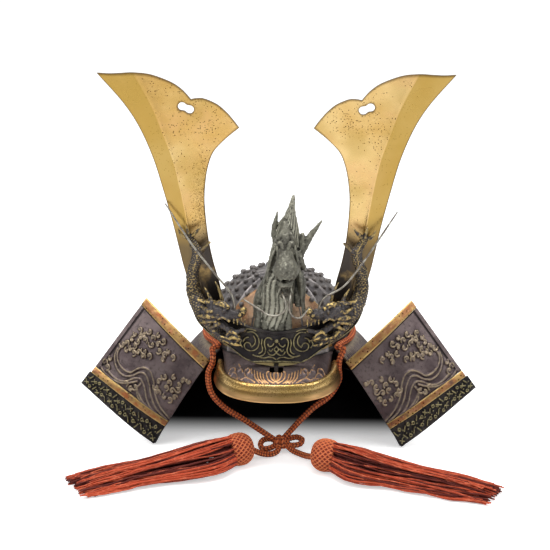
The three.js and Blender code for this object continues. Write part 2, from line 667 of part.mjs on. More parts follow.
const DRAGON_LIMBS = {
  neck: [
    [-0.1, 0.02, 0.78, 0.85], [-0.06, 0.2, 0.74, 1.05], [0, 0.36, 0.66, 1.08], [0.1, 0.52, 0.62, 1],
    [0.2, 0.68, 0.62, 0.92], [0.25, 0.8, 0.62, 0.72], [0.3, 0.88, 0.635, 0.36], [0.37, 1, 0.645, 0.06],
  ],
  snout: [[0.17, 0.76, 0.66, 0.7], [0.2, 0.64, 0.78, 0.82], [0.21, 0.55, 0.85, 0.72], [0.2, 0.5, 0.86, 0.4]],
  jaw: [[0.14, 0.5, 0.68, 0.6], [0.17, 0.455, 0.82, 0.46], [0.19, 0.425, 0.86, 0.3]],
  leftHorn: [[0.03, 0.66, 0.62, 0.34], [-0.05, 0.78, 0.62, 0.28], [0.01, 0.9, 0.64, 0.05]],
  rightHorn: [[0.52, 0.64, 0.62, 0.34], [0.68, 0.72, 0.62, 0.3], [1, 0.842, 0.62, 0.07]],
  ear: [[0.48, 0.62, 0.62, 0.42], [0.56, 0.7, 0.63, 0.32], [0.57, 0.765, 0.63, 0.12]],
  leftBrow: [[-0.02, 0.72, 0.66, 0.2], [0.06, 0.755, 0.74, 0.24], [0.15, 0.8, 0.72, 0.12]],
  rightBrow: [[0.42, 0.7, 0.66, 0.2], [0.34, 0.75, 0.74, 0.24], [0.26, 0.8, 0.72, 0.12]],
};

const THICK_DRAGON_LIMBS = ['neck', 'snout', 'jaw'];

// Stations of a rib of the dragon's base, which narrows towards its neck.
const RIBBED_BASE = [
  { up: 0.03, out: 0.761, narrow: 1, thick: 1 }, { up: 0.178, out: 0.767, narrow: 1, thick: 1 },
  { up: 0.327, out: 0.711, narrow: 0.85, thick: 0.7 },
];

function dragonPlace(across, up, out) {
  return new THREE.Vector3(across * DRAGON_HALF_WIDE, -out * DRAGON_DEEP, DRAGON_LOW + up * DRAGON_TALL);
}

function centerDragon() {
  const parts = Object.entries(DRAGON_LIMBS).map(([name, rows]) => {
    const stations = rows.map(([across, up, out, thick]) => ({
      place: dragonPlace(across, up, out),
      radius: thick * DRAGON_THICK,
    }));
    return THICK_DRAGON_LIMBS.includes(name) ? limb(stations, 6, stations.length) : limb(stations, 4, 2);
  });
  const ribs = shares(RIBBED_BASE_RIBS - 1, -0.62, 0.38).map((share) => (
    limb(RIBBED_BASE.map(({ up, out, narrow, thick }) => ({
      place: dragonPlace(share * narrow * RIBBED_BASE_WIDE / DRAGON_HALF_WIDE, up, out),
      radius: thick * RIBBED_BASE_RIB_RADIUS,
    })), 4, 2)
  ));
  const wires = [-1, 1].map((side) => wireBody(centerWire(side), SEAT_GAP));
  const sideSkulls = [-1, 1].map((side) => limb(SIDE_DRAGON_LIMBS.skull.map(([across, up, out, thick]) => ({
    place: sideDragonPlace(side, across, up, out),
    radius: thick * SIDE_DRAGON_THICK + 3 * SEAT_GAP,
  })), 6, 4));
  return mainBody(cut(join([...parts, ...ribs]), [
    crestBody(CREST_EDGE_ROLL + SEAT_GAP), ...bowlRoom(), peakRoom(), ...wires, ...sideSkulls,
  ]));
}

// Whisker wires from a dragon's nose outwards, as shares of that dragon's size

const SIDE_WIRES = {
  '-1': [
    [0.183, 0.32, 0.314], [0.225, 0.44, 0.309], [0.457, 0.605, 0.347], [0.757, 0.84, 0.452],
    [1.11, 1.17, 0.011],
  ],
  1: [
    [0.183, 0.32, 0.314], [0.258, 0.42, 0.348], [0.523, 0.513, 0.557], [0.765, 0.694, 0.631],
    [1.225, 1.116, 0.059],
  ],
};
const CENTER_WIRES = {
  '-1': [
    [0.097, 0.457, 0.844], [0.183, 0.42, 0.939], [0.228, 0.383, 0.956], [0.178, 0.346, 0.956],
    [0.028, 0.317, 0.944], [-0.175, 0.315, 0.922], [-0.378, 0.343, 0.889], [-0.736, 0.394, 0.844],
  ],
  1: [
    [0.292, 0.461, 0.844], [0.317, 0.428, 0.939], [0.294, 0.39, 0.956], [0.311, 0.342, 0.956],
    [0.417, 0.305, 0.944], [0.542, 0.308, 0.956], [0.728, 0.369, 0.956],
  ],
};

const sideWire = (side) => SIDE_WIRES[side].map((row) => sideDragonPlace(side, ...row));
const centerWire = (side) => CENTER_WIRES[side].map((row) => dragonPlace(...row));
const wireBody = (places, swell = 0) => tube(places, WIRE_RADIUS + swell, 4, places.length + 3);

// Neck guard

const GUARD_HEIGHT = BOWL_RIM_HEIGHT + GUARD_TOP_LIFT;
const GUARD_WALL_IN = 0.6 * GUARD_WALL;
const GUARD_WALL_DOWN = 0.8 * GUARD_WALL;
const GUARD_TOP_OUT = RIB_HEIGHT + 2 * SEAT_GAP + GUARD_WALL_IN;

function guardPoint(turn, drop, outset = 0) {
  const flare = drop ** GUARD_FLARE;
  const halfWidth = lerp(BOWL_HALF_WIDTH + GUARD_TOP_OUT, GUARD_HALF_WIDTH, flare) + outset;
  const halfLength = lerp(BOWL_HALF_LENGTH + GUARD_TOP_OUT, GUARD_HALF_LENGTH, flare) + outset;
  return new THREE.Vector3(
    halfWidth * Math.sin(turn),
    -halfLength * Math.cos(turn),
    GUARD_HEIGHT * (1 - drop),
  );
}

const guardEdge = (drop) => degToRad(lerp(GUARD_OPEN_TOP, GUARD_OPEN_BOTTOM, drop));
const guardTurn = (share, drop) => lerp(guardEdge(drop), 2 * Math.PI - guardEdge(drop), share);

function neckGuard() {
  const hemDrop = 1 - (HEM_HEIGHT + SEAT_GAP) / GUARD_HEIGHT;
  const steps = shares(LAME_COUNT).flatMap((share, i) => {
    const drop = share * hemDrop;
    const inner = { drop: i === 0 ? drop : drop + LAME_LIP, outset: 0 };
    const flared = { drop, outset: LAME_STEP };
    const middle = { drop: (share + 0.5 / LAME_COUNT) * hemDrop, outset: LAME_STEP / 2 };
    if (i === 0) {
      return [inner, middle];
    }
    return i === LAME_COUNT ? [flared] : [flared, inner, middle];
  });
  const surface = (inset) => (share, row) => {
    const { drop, outset } = steps[row];
    const place = guardPoint(guardTurn(share, drop), drop, outset - inset * GUARD_WALL_IN);
    return place.setZ(Math.max(place.z - inset * GUARD_WALL_DOWN, HEM_HEIGHT + SEAT_GAP));
  };
  return join([plate(shares(16), steps.map((_, i) => i), surface(0), surface(1))]);
}

function neckGuardHem() {
  const top = 1 - HEM_HEIGHT / GUARD_HEIGHT;
  const rings = shares(16).map((share) => [
    guardPoint(guardTurn(share, 1), 1, 0),
    guardPoint(guardTurn(share, 1), 1, -HEM_WALL),
    guardPoint(guardTurn(share, top), top, LAME_STEP - HEM_WALL),
    guardPoint(guardTurn(share, top), top, LAME_STEP),
  ]);
  return join([loft(rings)]);
}

// Flaps

// Point on a flap: u runs from the neck guard outwards, v from its top edge to its foot.
function flapPlace(side, u, v) {
  const drop = lerp(FLAP_TOP_DROP, FLAP_BOTTOM_DROP, v);
  const edge = guardEdge(drop);
  const inner = guardPoint(edge, drop)
    .addScaledVector(new THREE.Vector3(-Math.cos(edge), -Math.sin(edge), 0), FLAP_SEAT);
  const tip = new THREE.Vector3(FLAP_TIP_OUT, -FLAP_TIP_FRONT, FLAP_TIP_HEIGHT);
  const foot = new THREE.Vector3(FLAP_FOOT_OUT, -FLAP_FOOT_FRONT, FLAP_FOOT_HEIGHT);
  const place = inner.lerp(tip.lerp(foot, v), u);
  place.x *= side;
  return place;
}

function flapPoint(side, u, v, out) {
  const alongU = flapPlace(side, u + 0.01, v).sub(flapPlace(side, u - 0.01, v));
  const alongV = flapPlace(side, u, v + 0.01).sub(flapPlace(side, u, v - 0.01));
  const normal = alongU.cross(alongV).normalize().multiplyScalar(side);
  const forward = normal.y < 0 ? normal : normal.negate();
  return flapPlace(side, u, v).addScaledVector(forward, out + FLAP_BULGE * 4 * u * (1 - u));
}

const flapLength = (u) => flapPlace(1, u, 0).distanceTo(flapPlace(1, u, 1));
const flapReach = () => flapPlace(1, 0, 0).distanceTo(flapPlace(1, 1, 0));
const hemTop = (u) => 1 - lerp(FLAP_HEM_INNER, FLAP_HEM_OUTER, u) / flapLength(u);
const lowTrimTop = (u) => hemTop(u) - LOW_TRIM_WIDTH / flapLength(u);
const topTrimLow = (u) => TOP_TRIM_WIDTH / flapLength(u);

// Strip of a flap between two lines across it, set back from each by half the gap.
function flapStrip(side, from, to, wall, ends = [0, 1], rows = 1) {
  const place = (u, v, out) => {
    const gap = SEAT_GAP / 2 / flapLength(u);
    return flapPoint(side, u, lerp(from(u) + gap, to(u) - gap, v), out);
  };
  const back = -FLAP_WALL / 2;
  const [us, vs] = [shares(6, ...ends), shares(rows)];
  return plate(us, vs, (u, v) => place(u, v, wall + back), (u, v) => place(u, v, back));
}

// Wave bands of the relief: u and v along the middle of each.
const WAVE_BANDS = [
  [[0.94, 0.76], [0.79, 0.76], [0.66, 0.71], [0.56, 0.57], [0.46, 0.56], [0.37, 0.64], [0.07, 0.69]],
  [
    [0.9, 0.49], [0.88, 0.62], [0.77, 0.655], [0.65, 0.6], [0.52, 0.46], [0.41, 0.48], [0.28, 0.6],
    [0.03, 0.67],
  ],
];
const FOAM = [
  [0.85, 0.42], [0.7, 0.39], [0.8, 0.28], [0.66, 0.23], [0.5, 0.24],
  [0.88, 0.68], [0.56, 0.69], [0.31, 0.41], [0.16, 0.34], [0.22, 0.53],
];

function flapPanel(side) {
  const base = flapStrip(side, topTrimLow, lowTrimTop, FLAP_WALL, [0, 1], 2);
  const front = FLAP_WALL / 2;
  const bands = WAVE_BANDS.map((rows) => (
    tube(rows.map(([u, v]) => flapPoint(side, u, v, front)), WAVE_THICKNESS, 3, rows.length - 1)
  ));
  const foam = FOAM.map(([u, v]) => ball(flapPoint(side, u, v, front), FOAM_RADIUS, 4, 2));
  const borderIn = 1 - FLAP_BORDER / flapReach();
  const border = flapStrip(side, topTrimLow, lowTrimTop, TRIM_WALL, [borderIn, 1]);
  return join([base, border, ...bands, ...foam]);
}

const flapTopTrim = (side) => join([flapStrip(side, () => 0, topTrimLow, TRIM_WALL)]);
const flapLowTrim = (side) => join([flapStrip(side, lowTrimTop, hemTop, TRIM_WALL)]);

function flapHem(side) {
  const band = flapStrip(side, hemTop, () => 1, FLAP_WALL, [0, 1.02]);
  const laces = shares(LACE_COUNT - 1, 0.08, 0.95).map((u) => (
    ball(flapPoint(side, u, lerp(hemTop(u), 1, 0.5), FLAP_WALL / 2), LACE_RADIUS, 4, 2)
  ));
  return join([band, ...laces]);
}

// Cord, knot and tassels

// The groove between the bowl and the neck guard, round the back from right to left.
function groovePlaces() {
  return shares(CORD_GROOVE_STEPS, CORD_GROOVE_TURN, 360 - CORD_GROOVE_TURN).map((turn) => (
    bowlPoint(degToRad(turn), 0, CORD_GROOVE_OUT).setZ(CORD_GROOVE_HEIGHT)
  ));
}

function cordTube(places, swell = 0) {
  const long = new THREE.CatmullRomCurve3(places).getLength();
  const steps = Math.max(places.length, Math.round(long / CORD_STEP));
  return tube(places, CORD_DIAMETER / 2 + swell, CORD_SIDES, steps);
}

// Room round a cord in the piece that it goes into, past the cord's ends too.
function cordRoom(places) {
  const past = (end, next) => end.clone().add(end.clone().sub(next).setLength(SEAT_GAP));
  const last = places.length - 1;
  const longer = [past(places[0], places[1]), ...places.slice(1, last), past(places[last], places[last - 1])];
  return cordTube(longer, SEAT_GAP);
}

const asPlaces = (rows) => rows.map((row) => new THREE.Vector3(...row));

const loopPlaces = () => [...asPlaces(CORD_RIGHT), ...groovePlaces(), ...asPlaces(CORD_LEFT)];

// Bow of the knot: where each ear and each end of its neck lies from the knot's middle, in cord widths.
const KNOT_PLACE = new THREE.Vector3(2, -61, 6.6);
const KNOT_EARS = [
  { right: -2.3, back: -0.4, up: -0.18, turn: 10 }, { right: 2.8, back: 0.6, up: 0.12, turn: -16 },
];
const KNOT_NECK = [{ right: -1.6, back: -0.3, up: -0.2 }, { right: 2.4, back: 0.4, up: 0 }];

function cordKnot() {
  const fromKnot = ({ right, back, up }) => (
    KNOT_PLACE.clone().addScaledVector(new THREE.Vector3(right, back, up), CORD_DIAMETER)
  );
  const heart = ball(new THREE.Vector3(), KNOT_RADIUS, 6, 4)
    .scale(1.25, 0.9, 1)
    .translate(...KNOT_PLACE.toArray());
  const ears = KNOT_EARS.map((ear) => (
    new THREE.TorusGeometry(KNOT_EAR_RADIUS, CORD_DIAMETER / 2, 5, 8)
      .scale(1.25, 1, 1)
      .rotateX(degToRad(KNOT_EAR_LEAN))
      .rotateZ(degToRad(ear.turn))
      .translate(...fromKnot(ear).toArray())
  ));
  const neck = limb(KNOT_NECK.map((end) => ({ place: fromKnot(end), radius: KNOT_NECK_RADIUS })), 6, 2);
  const cords = [loopPlaces(), asPlaces(TAIL_LEFT), asPlaces(TAIL_RIGHT)].map(cordRoom);
  return mainBody(cut(join([heart, neck, ...ears]), cords));
}

// Tassels: middle line, half width and height of the skirt, from the head to its ragged end.
const TASSEL_SKIRTS = {
  '-1': [
    [-36, -94, 12.5, 26], [-56, -104, 25, 24], [-97, -116, 27, 15], [-130, -130, 26, 11], [-159, -146, 22, 7],
  ],
  1: [
    [47, -103, 12.5, 26], [66, -109, 24, 23], [100, -119, 23, 15], [140, -134, 22, 11], [175, -150, 18, 7],
  ],
};

// Half profile of a tassel's head, from the skirt to the cord, as shares of its radius and length.
const TASSEL_HEAD = [
  { out: 0, along: -0.5 }, { out: 0.86, along: -0.5 }, { out: 1, along: -0.2 }, { out: 0.97, along: 0.2 },
  { out: 0.72, along: 0.5 }, { out: 0.3, along: 0.62 }, { out: 0, along: 0.64 },
];

// One lock of the skirt: it lies at a share across it, from -1 to 1.
function tasselLock(rows, share) {
  const rings = rows.map(([x, y, halfWidth, height], i) => {
    const [next, last] = [rows[Math.min(i + 1, rows.length - 1)], rows[Math.max(i - 1, 0)]];
    const along = new THREE.Vector2(next[0] - last[0], next[1] - last[1]).normalize();
    const lockHeight = height * lerp(1, 0.62, share * share);
    const lockHalf = halfWidth / TASSEL_LOCKS * 1.5;
    const middle = share * (halfWidth - lockHalf);
    return shares(5).slice(0, 5).map((turn) => {
      const sideways = middle + lockHalf * Math.cos(turn * 2 * Math.PI);
      const up = SEAT_GAP + lockHeight / 2 * (1 + Math.sin(turn * 2 * Math.PI));
      return new THREE.Vector3(x - along.y * sideways, y + along.x * sideways, up);
    });
  });
  return loft(rings);
}

function tassel(side) {
  const rows = TASSEL_SKIRTS[side];
  const locks = shares(TASSEL_LOCKS - 1, -1, 1).map((share) => tasselLock(rows, share));
  const [start, next] = rows.map(([x, y]) => new THREE.Vector3(x, y, 0));
  const inward = start.clone().sub(next).normalize();
  const profile = TASSEL_HEAD.map(({ out, along }) => (
    new THREE.Vector2(out * TASSEL_HEAD_RADIUS, along * TASSEL_HEAD_LONG)
  ));
  const head = new THREE.LatheGeometry(profile, 8);
  head.rotateX(Math.PI / 2);
  head.applyMatrix4(new THREE.Matrix4().makeBasis(
    new THREE.Vector3(-inward.y, inward.x, 0),
    new THREE.Vector3(0, 0, 1),
    inward,
  ));
  const place = start.addScaledVector(inward, TASSEL_HEAD_LONG * 0.45);
  head.translate(place.x, place.y, TASSEL_HEAD_RADIUS + SEAT_GAP);
  return cut(join([head, ...locks]), [cordRoom(asPlaces(side < 0 ? TAIL_LEFT : TAIL_RIGHT))]);
}

// Finishes and scene

const finish = (color, roughness, metalness) => (
  new THREE.MeshStandardMaterial({ color, roughness, metalness })
);
const giltBrass = finish(0xd7b470, 0.3, 1);
const darkBronze = finish(0x4a4240, 0.45, 0.9);
const purpleBronze = finish(0x6d5f5f, 0.5, 0.9);
const copperGilt = finish(0xb98a58, 0.4, 1);
const pewter = finish(0x7c7d72, 0.6, 0.8);
const wire = finish(0xa8a49a, 0.35, 1);
const orangeCord = finish(0xc15a34, 0.85, 0);

const helmet = new THREE.Group();
const ornaments = new THREE.Group();

function add(name, solid, material, group = helmet) {
  const mesh = new THREE.Mesh(geometryOf(solid), material);
  mesh.name = name;
  group.add(mesh);
}

add('bowl', bowl(), purpleBronze);
add('peak', peak(), purpleBronze);
add('peak_rim', peakRim(), giltBrass);
add('crest_plate', crestPlate(), darkBronze);
add('center_dragon', centerDragon(), pewter);
add('neck_guard', neckGuard(), purpleBronze);
add('neck_guard_hem', neckGuardHem(), darkBronze);
for (const [side, label] of [[-1, 'left'], [1, 'right']]) {
  add(`horn_${label}`, horn(side), giltBrass);
  add(`side_dragon_${label}`, sideDragon(side), darkBronze);
  add(`side_whisker_${label}`, join([wireBody(sideWire(side))]), wire);
  add(`whisker_${label}`, join([wireBody(centerWire(side))]), wire);
  add(`flap_panel_${label}`, flapPanel(side), purpleBronze);
  add(`flap_top_trim_${label}`, flapTopTrim(side), copperGilt);
  add(`flap_low_trim_${label}`, flapLowTrim(side), copperGilt);
  add(`flap_hem_${label}`, flapHem(side), darkBronze);
  add(`tassel_${label}`, tassel(side), orangeCord, ornaments);
}
add('cord_loop', join([cordTube(loopPlaces())]), orangeCord, ornaments);
add('cord_knot', cordKnot(), orangeCord, ornaments);
add('cord_tail_left', join([cordTube(asPlaces(TAIL_LEFT))]), orangeCord, ornaments);
add('cord_tail_right', join([cordTube(asPlaces(TAIL_RIGHT))]), orangeCord, ornaments);

// The origin is under the middle of the metal helmet, without its cord and tassels.
const middle = new THREE.Box3().setFromObject(helmet).getCenter(new THREE.Vector3());
const object = new THREE.Group();
object.add(helmet, ornaments);
object.position.set(0, -middle.y, 0);
object.updateMatrixWorld(true);

export default object;
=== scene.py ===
"""Looks of the ornamental kabuto helmet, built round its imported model, in metres."""

import math

import bmesh
import bpy
import numpy as np
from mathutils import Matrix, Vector, noise


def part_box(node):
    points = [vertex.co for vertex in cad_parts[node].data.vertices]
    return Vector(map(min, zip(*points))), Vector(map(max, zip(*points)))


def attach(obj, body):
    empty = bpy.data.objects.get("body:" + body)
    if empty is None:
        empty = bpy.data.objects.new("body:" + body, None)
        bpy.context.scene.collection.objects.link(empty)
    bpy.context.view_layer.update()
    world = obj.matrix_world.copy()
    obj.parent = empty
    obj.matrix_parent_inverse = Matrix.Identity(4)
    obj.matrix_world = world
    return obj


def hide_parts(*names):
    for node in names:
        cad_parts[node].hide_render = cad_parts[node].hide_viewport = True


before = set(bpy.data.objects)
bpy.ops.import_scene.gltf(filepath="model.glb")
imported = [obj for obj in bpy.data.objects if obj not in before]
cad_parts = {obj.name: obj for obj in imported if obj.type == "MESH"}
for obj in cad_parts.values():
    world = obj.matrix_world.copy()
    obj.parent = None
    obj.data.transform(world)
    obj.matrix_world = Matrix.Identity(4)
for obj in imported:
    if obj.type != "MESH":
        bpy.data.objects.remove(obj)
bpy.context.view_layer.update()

MM = 0.001
SEED = 7
SIDES = ((-1, "left"), (1, "right"))
# The back of a plate keeps every so many rows and columns of its front.
BACK_STEP = 4
FINE_BACK_STEP = 2

# Rows and columns of the larger grids
BOWL_ROWS = 60
BOWL_INSIDE_ROWS = 16
BOWL_TOP_RISE = 0.995
FRONT_PANEL_COLUMNS = 61
FRONT_PANEL_ROWS = 69
PEAK_COLUMNS = 281
PEAK_ROWS = 89
RIM_SECTIONS = 150
CREST_COLUMNS = 321
CREST_ROWS = 81
HORN_ROWS = 121
LAME_ROWS = 13
COLUMNS_PER_FLUTE = 8
HEM_COLUMNS = 1081
HEM_ROWS = 29
FLAP_PANEL_COLUMNS = 169
FLAP_PANEL_ROWS = 185
TRIM_COLUMNS = 81
TRIM_ROWS = 13
BAND_COLUMNS = 241
BAND_ROWS = 49

# Bowl
BOWL_HALF_WIDTH = 0.058
BOWL_HALF_LENGTH = 0.063
BOWL_RIM_HEIGHT = 0.080
BOWL_HEIGHT = 0.058
BOWL_WALL = 0.0022
BOWL_FULLNESS = 2.3
RIB_COUNT = 16
RIB_HEIGHT = 0.0012
RIB_WIDTH = 0.0026
STUD_RADIUS = 0.0027
STUD_RISES = [0.08, 0.2, 0.32, 0.44, 0.56, 0.68, 0.8]
STUD_OPEN_TURN = 34
STUD_COLUMNS = 32
STUD_TOP_RISE = 0.82
PANEL_HEIGHT = 0.0009
PANEL_INNER_TURN = 4
PANEL_OUTER_TURN = 50
PANEL_TOP_TURN = 8
PANEL_LOW_RISE = 0.04
PANEL_HIGH_RISE = 0.8

# Brow peak and its rim
PEAK_ROOT_TURN = 50
PEAK_ROOT_LIFT = 0.0012
PEAK_HALF_WIDTH = 0.0473
PEAK_SIDE_FRONT = 0.050
PEAK_REACH = 0.047
PEAK_CURVE = 2.3
PEAK_FRONT_HEIGHT = 0.0694
PEAK_SIDE_LIFT = 0.004
PEAK_WALL = 0.002
PEAK_CROWN = 0.0014
RIM_INSET = 0.0032
RIM_FLARE = 0.005
RIM_DROP = 0.011
SLOT_HALF_WIDTH = 0.0056
SLOT_START = 0.24
SCROLL_STEP = 0.0006
PEAK_SCROLL_HALF_WIDTH = 0.0008
PEAK_SCROLL_HEIGHT = 0.0009

# Crest plate
CREST_HALF_WIDTH = 0.070
CREST_FRONT = 0.074
CREST_SWEEP = 0.026
CREST_BOTTOM = 0.079
CREST_HEIGHT = 0.0295
CREST_WALL = 0.0026
CREST_FLANGE = 0.0034
CREST_FLANGE_REACH = 0.019
CREST_SCROLL_HALF_WIDTH = 0.0009
CREST_SCROLL_HEIGHT = 0.0014
LUG_WIDTH = 0.003
LUG_REACH = 0.009
LUG_DROP = 0.014

# Horns
HORN_FOOT_FRONT = 0.044
HORN_FOOT_HEIGHT = 0.118
HORN_LEAN = 10
HORN_BOTTOM = 0.098
HORN_TALL = 0.222
HORN_SPAN = 0.1377
HORN_WALL = 0.0024
HORN_CREASE = 0.0042
HORN_TOP_SWELL = 0.0165
HEART_EYE_LONG = 0.013
HEART_EYE_WIDE = 0.007
HEART_EYE_TILT = 24
HEART_EYE_ACROSS = 0.62
HEART_EYE_BELOW_TOP = 0.52

# Dragons and their wires
SIDE_DRAGON_INNER = 0.022
SIDE_DRAGON_WIDE = 0.060
SIDE_DRAGON_LOW = 0.095
SIDE_DRAGON_TALL = 0.100
SIDE_DRAGON_DEEP = 0.020
SIDE_DRAGON_THICK = 0.010
DRAGON_HALF_WIDE = 0.036
DRAGON_LOW = 0.084
DRAGON_TALL = 0.1345
DRAGON_DEEP = 0.090
DRAGON_THICK = 0.012
RIBBED_BASE_WIDE = 0.026
RIBBED_BASE_RIBS = 5
RIBBED_BASE_RIB_RADIUS = 0.0033
WIRE_RADIUS = 0.0008
CAST_VOXEL = 0.00066
CAST_GRAIN = 330
SCALE_PITCH = 0.0018
SCALE_COUNT = 12
SCALE_RISE = 0.0006
STRAND_PITCH = 0.006
STRAND_GROOVES = 20
SIDE_GRAIN = 0.0007
CENTER_GRAIN = 0.0005
MANE_LOCKS = 34
SPIKE_RADII = [0.0011, 0.0008, 0.0002]
FINE_LIMB_STEP = 0.0004

# Neck guard
SEAT_GAP = 0.0003
GUARD_WALL = 0.0022
GUARD_TOP_LIFT = 0.002
GUARD_HALF_WIDTH = 0.116
GUARD_HALF_LENGTH = 0.116
GUARD_FLARE = 0.75
GUARD_OPEN_TOP = 52.5
GUARD_OPEN_BOTTOM = 64.4
LAME_COUNT = 3
LAME_STEP = 0.0012
LAME_FLUTES = 66
LAME_OVERLAP = 0.006
HEM_HEIGHT = 0.015
HEM_WALL = 0.003

# Turn-back flaps
FLAP_TOP_DROP = 0.107
FLAP_BOTTOM_DROP = 0.985
FLAP_SEAT = 0.0027
FLAP_TIP = (0.1101, -0.015, 0.1166)
FLAP_FOOT = (0.1637, -0.036, 0.047)
FLAP_BULGE = 0.005
FLAP_WALL = 0.0022
TRIM_WALL = 0.0034
TOP_TRIM_WIDTH = 0.0074
LOW_TRIM_WIDTH = 0.006
FLAP_HEM_INNER = 0.019
FLAP_HEM_OUTER = 0.0125
FLAP_RIM_BAND = 0.0036
FLAP_GROOVE = 0.0006
WAVE_HALF_WIDTH = 0.00135
WAVE_HEIGHT = 0.0017
FOAM_CURL = 0.0019
FOAM_HEIGHT = 0.0022
FLAP_MARK_PITCH = 0.0042
HEM_MARK_PITCH = 0.0046
MARK_HALF_WIDTH = 0.00085
MARK_HEIGHT = 0.0018
HEM_MARK_HEIGHT = 0.0011
BAND_REACH = 1.02

# Cord and tassels
CORD_DIAMETER = 0.005
CORD_STEP = 0.0005
CORD_SIDES = 24
BRAID_LOW = 0.91
BRAID_HIGH = 1.03
BRAID_CYCLES = 1.9
BRAID_SLANT = 3.4
KNOT_STRAND_RADIUS = 0.0024
CORD_GROOVE_OUT = 0.0045
CORD_GROOVE_HEIGHT = 0.0846
CORD_GROOVE_TURN = 52
CORD_GROOVE_STEPS = 12
TASSEL_HEAD_RADIUS = 0.0132
TASSEL_HEAD_LONG = 0.017
STRAND_RADIUS = 0.00068
STRAND_COUNT = 170
STRAND_STEPS = 34
TASSEL_HEAD_ROWS = 60
TASSEL_HEAD_COLUMNS = 160
STRAND_WAVE = 0.0016

# Floor and camera
FLOOR_SIZE = 16
FLOOR_GLOW = 0.5
# Reach of the painted shadow on the floor under the helmet: back, front and out past the hem.
SHADOW_BACK = 0.012
SHADOW_FRONT = -0.036
SHADOW_SPREAD = 1.03
ROOM_GLOW = 0.62
ROOM_DARK = 0.1
CAMERA_AZIMUTH = 1.8
CAMERA_ELEVATION = 18
CAMERA_DISTANCE = 1.5
CAMERA_TARGET_HEIGHT = 0.13
CAMERA_LENS = 116.9
CAMERA_SHIFT_RIGHT = -0.0078
CAMERA_SHIFT_UP = 0.0062

# The bowl's upright axis stands behind the middle of the metal helmet.
AXIS_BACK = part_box("neck_guard_hem")[1][1] - GUARD_HALF_LENGTH

rng = np.random.default_rng(SEED)


def from_axis(places):
    """Places measured from the bowl's axis, in the frame of the model."""
    return np.asarray(places, float) + np.array([0, AXIS_BACK, 0])


def put_in_scene(name, data):
    thing = bpy.data.objects.new(name, data)
    bpy.context.scene.collection.objects.link(thing)
    return thing


# Camera

def add_camera():
    azimuth = math.radians(CAMERA_AZIMUTH)
    elevation = math.radians(CAMERA_ELEVATION)
    target = Vector((0, AXIS_BACK, CAMERA_TARGET_HEIGHT))
    away = Vector((
        math.sin(azimuth) * math.cos(elevation),
        -math.cos(azimuth) * math.cos(elevation),
        math.sin(elevation),
    ))
    data = bpy.data.cameras.new("camera")
    data.lens = CAMERA_LENS
    data.sensor_width = 36
    data.shift_x = CAMERA_SHIFT_RIGHT
    data.shift_y = CAMERA_SHIFT_UP
    data.clip_end = 60
    camera = put_in_scene("camera", data)
    camera.location = target + away * CAMERA_DISTANCE
    camera.rotation_euler = (-away).to_track_quat("-Z", "Y").to_euler()
    bpy.context.scene.camera = camera


add_camera()


# Curves and surfaces as arrays

def lerp(low, high, share):
    return low + (high - low) * share


def signed_power(value, power):
    return np.sign(value) * np.abs(value) ** power


def unit(vectors):
    return vectors / np.maximum(np.linalg.norm(vectors, axis=-1, keepdims=True), 1e-12)


def spline(rows, at):
    """Smooth curve through rows of numbers, at places counted in rows."""
    rows = np.asarray(rows, float)
    padded = np.vstack([2 * rows[0] - rows[1], rows, 2 * rows[-1] - rows[-2]])
    steps = np.maximum(np.linalg.norm(np.diff(padded, axis=0), axis=1) ** 0.5, 1e-6)
    low = np.clip(np.floor(at).astype(int), 0, len(rows) - 2)
    a, b, c, d = (padded[low + k] for k in range(4))
    before, here, after = (steps[low + k][:, None] for k in range(3))
    leave = ((b - a) / before - (c - a) / (before + here) + (c - b) / here) * here
    arrive = ((c - b) / here - (d - b) / (here + after) + (d - c) / after) * here
    t = (at - low)[:, None]
    return (b + leave * t + (3 * (c - b) - 2 * leave - arrive) * t ** 2
            + (2 * (b - c) + leave + arrive) * t ** 3)


def even_path(rows, step):
    """Points a step apart on the smooth curve through rows."""
    fine = spline(rows, np.linspace(0, len(rows) - 1, 40 * len(rows)))
    reach = np.r_[0, np.cumsum(np.linalg.norm(np.diff(fine, axis=0), axis=1))]
    at = np.linspace(0, reach[-1], max(2, round(reach[-1] / step)) + 1)
    return np.stack([np.interp(at, reach, column) for column in fine.T], axis=1)


def smooth_lookup(share, rows, column):
    """A column of a table by its first column, smoothed."""
    fine = spline(rows, np.linspace(0, len(rows) - 1, 40 * len(rows)))
    return np.interp(share, fine[:, 0], fine[:, column])


def path_frames(path):
    """Two directions square to a path at each of its points, that don't twist along it."""
    along = unit(np.gradient(path, axis=0))
    start = np.array([0, 0, 1.0]) if abs(along[0][2]) < 0.9 else np.array([1.0, 0, 0])
    side = unit(np.cross(along[0], start))
    sides = []
    for direction in along:
        side = unit(side - direction * (side @ direction))
        sides.append(side)
    sides = np.array(sides)
    return sides, np.cross(along, sides)


def tube_rings(path, radius, round_count):
    """Rings round a path. The radius is a number or an array that fits the rings."""
    sides, ups = path_frames(path)
    turn = np.arange(round_count) * 2 * math.pi / round_count
    out = np.cos(turn)[None, :, None] * sides[:, None] + np.sin(turn)[None, :, None] * ups[:, None]
    radius = np.broadcast_to(np.asarray(radius, float), (len(path), round_count))
    return path[:, None] + radius[..., None] * out


def line_distance(points, line):
    """Shortest distance from each point to a line of short straights."""
    best = np.full(len(points), np.inf)
    for start, end in zip(line[:-1], line[1:]):
        along = end - start
        t = np.clip((points - start) @ along / max(along @ along, 1e-15), 0, 1)
        gap = points - (start + t[:, None] * along)
        best = np.minimum(best, np.hypot(gap[:, 0], gap[:, 1]))
    return best


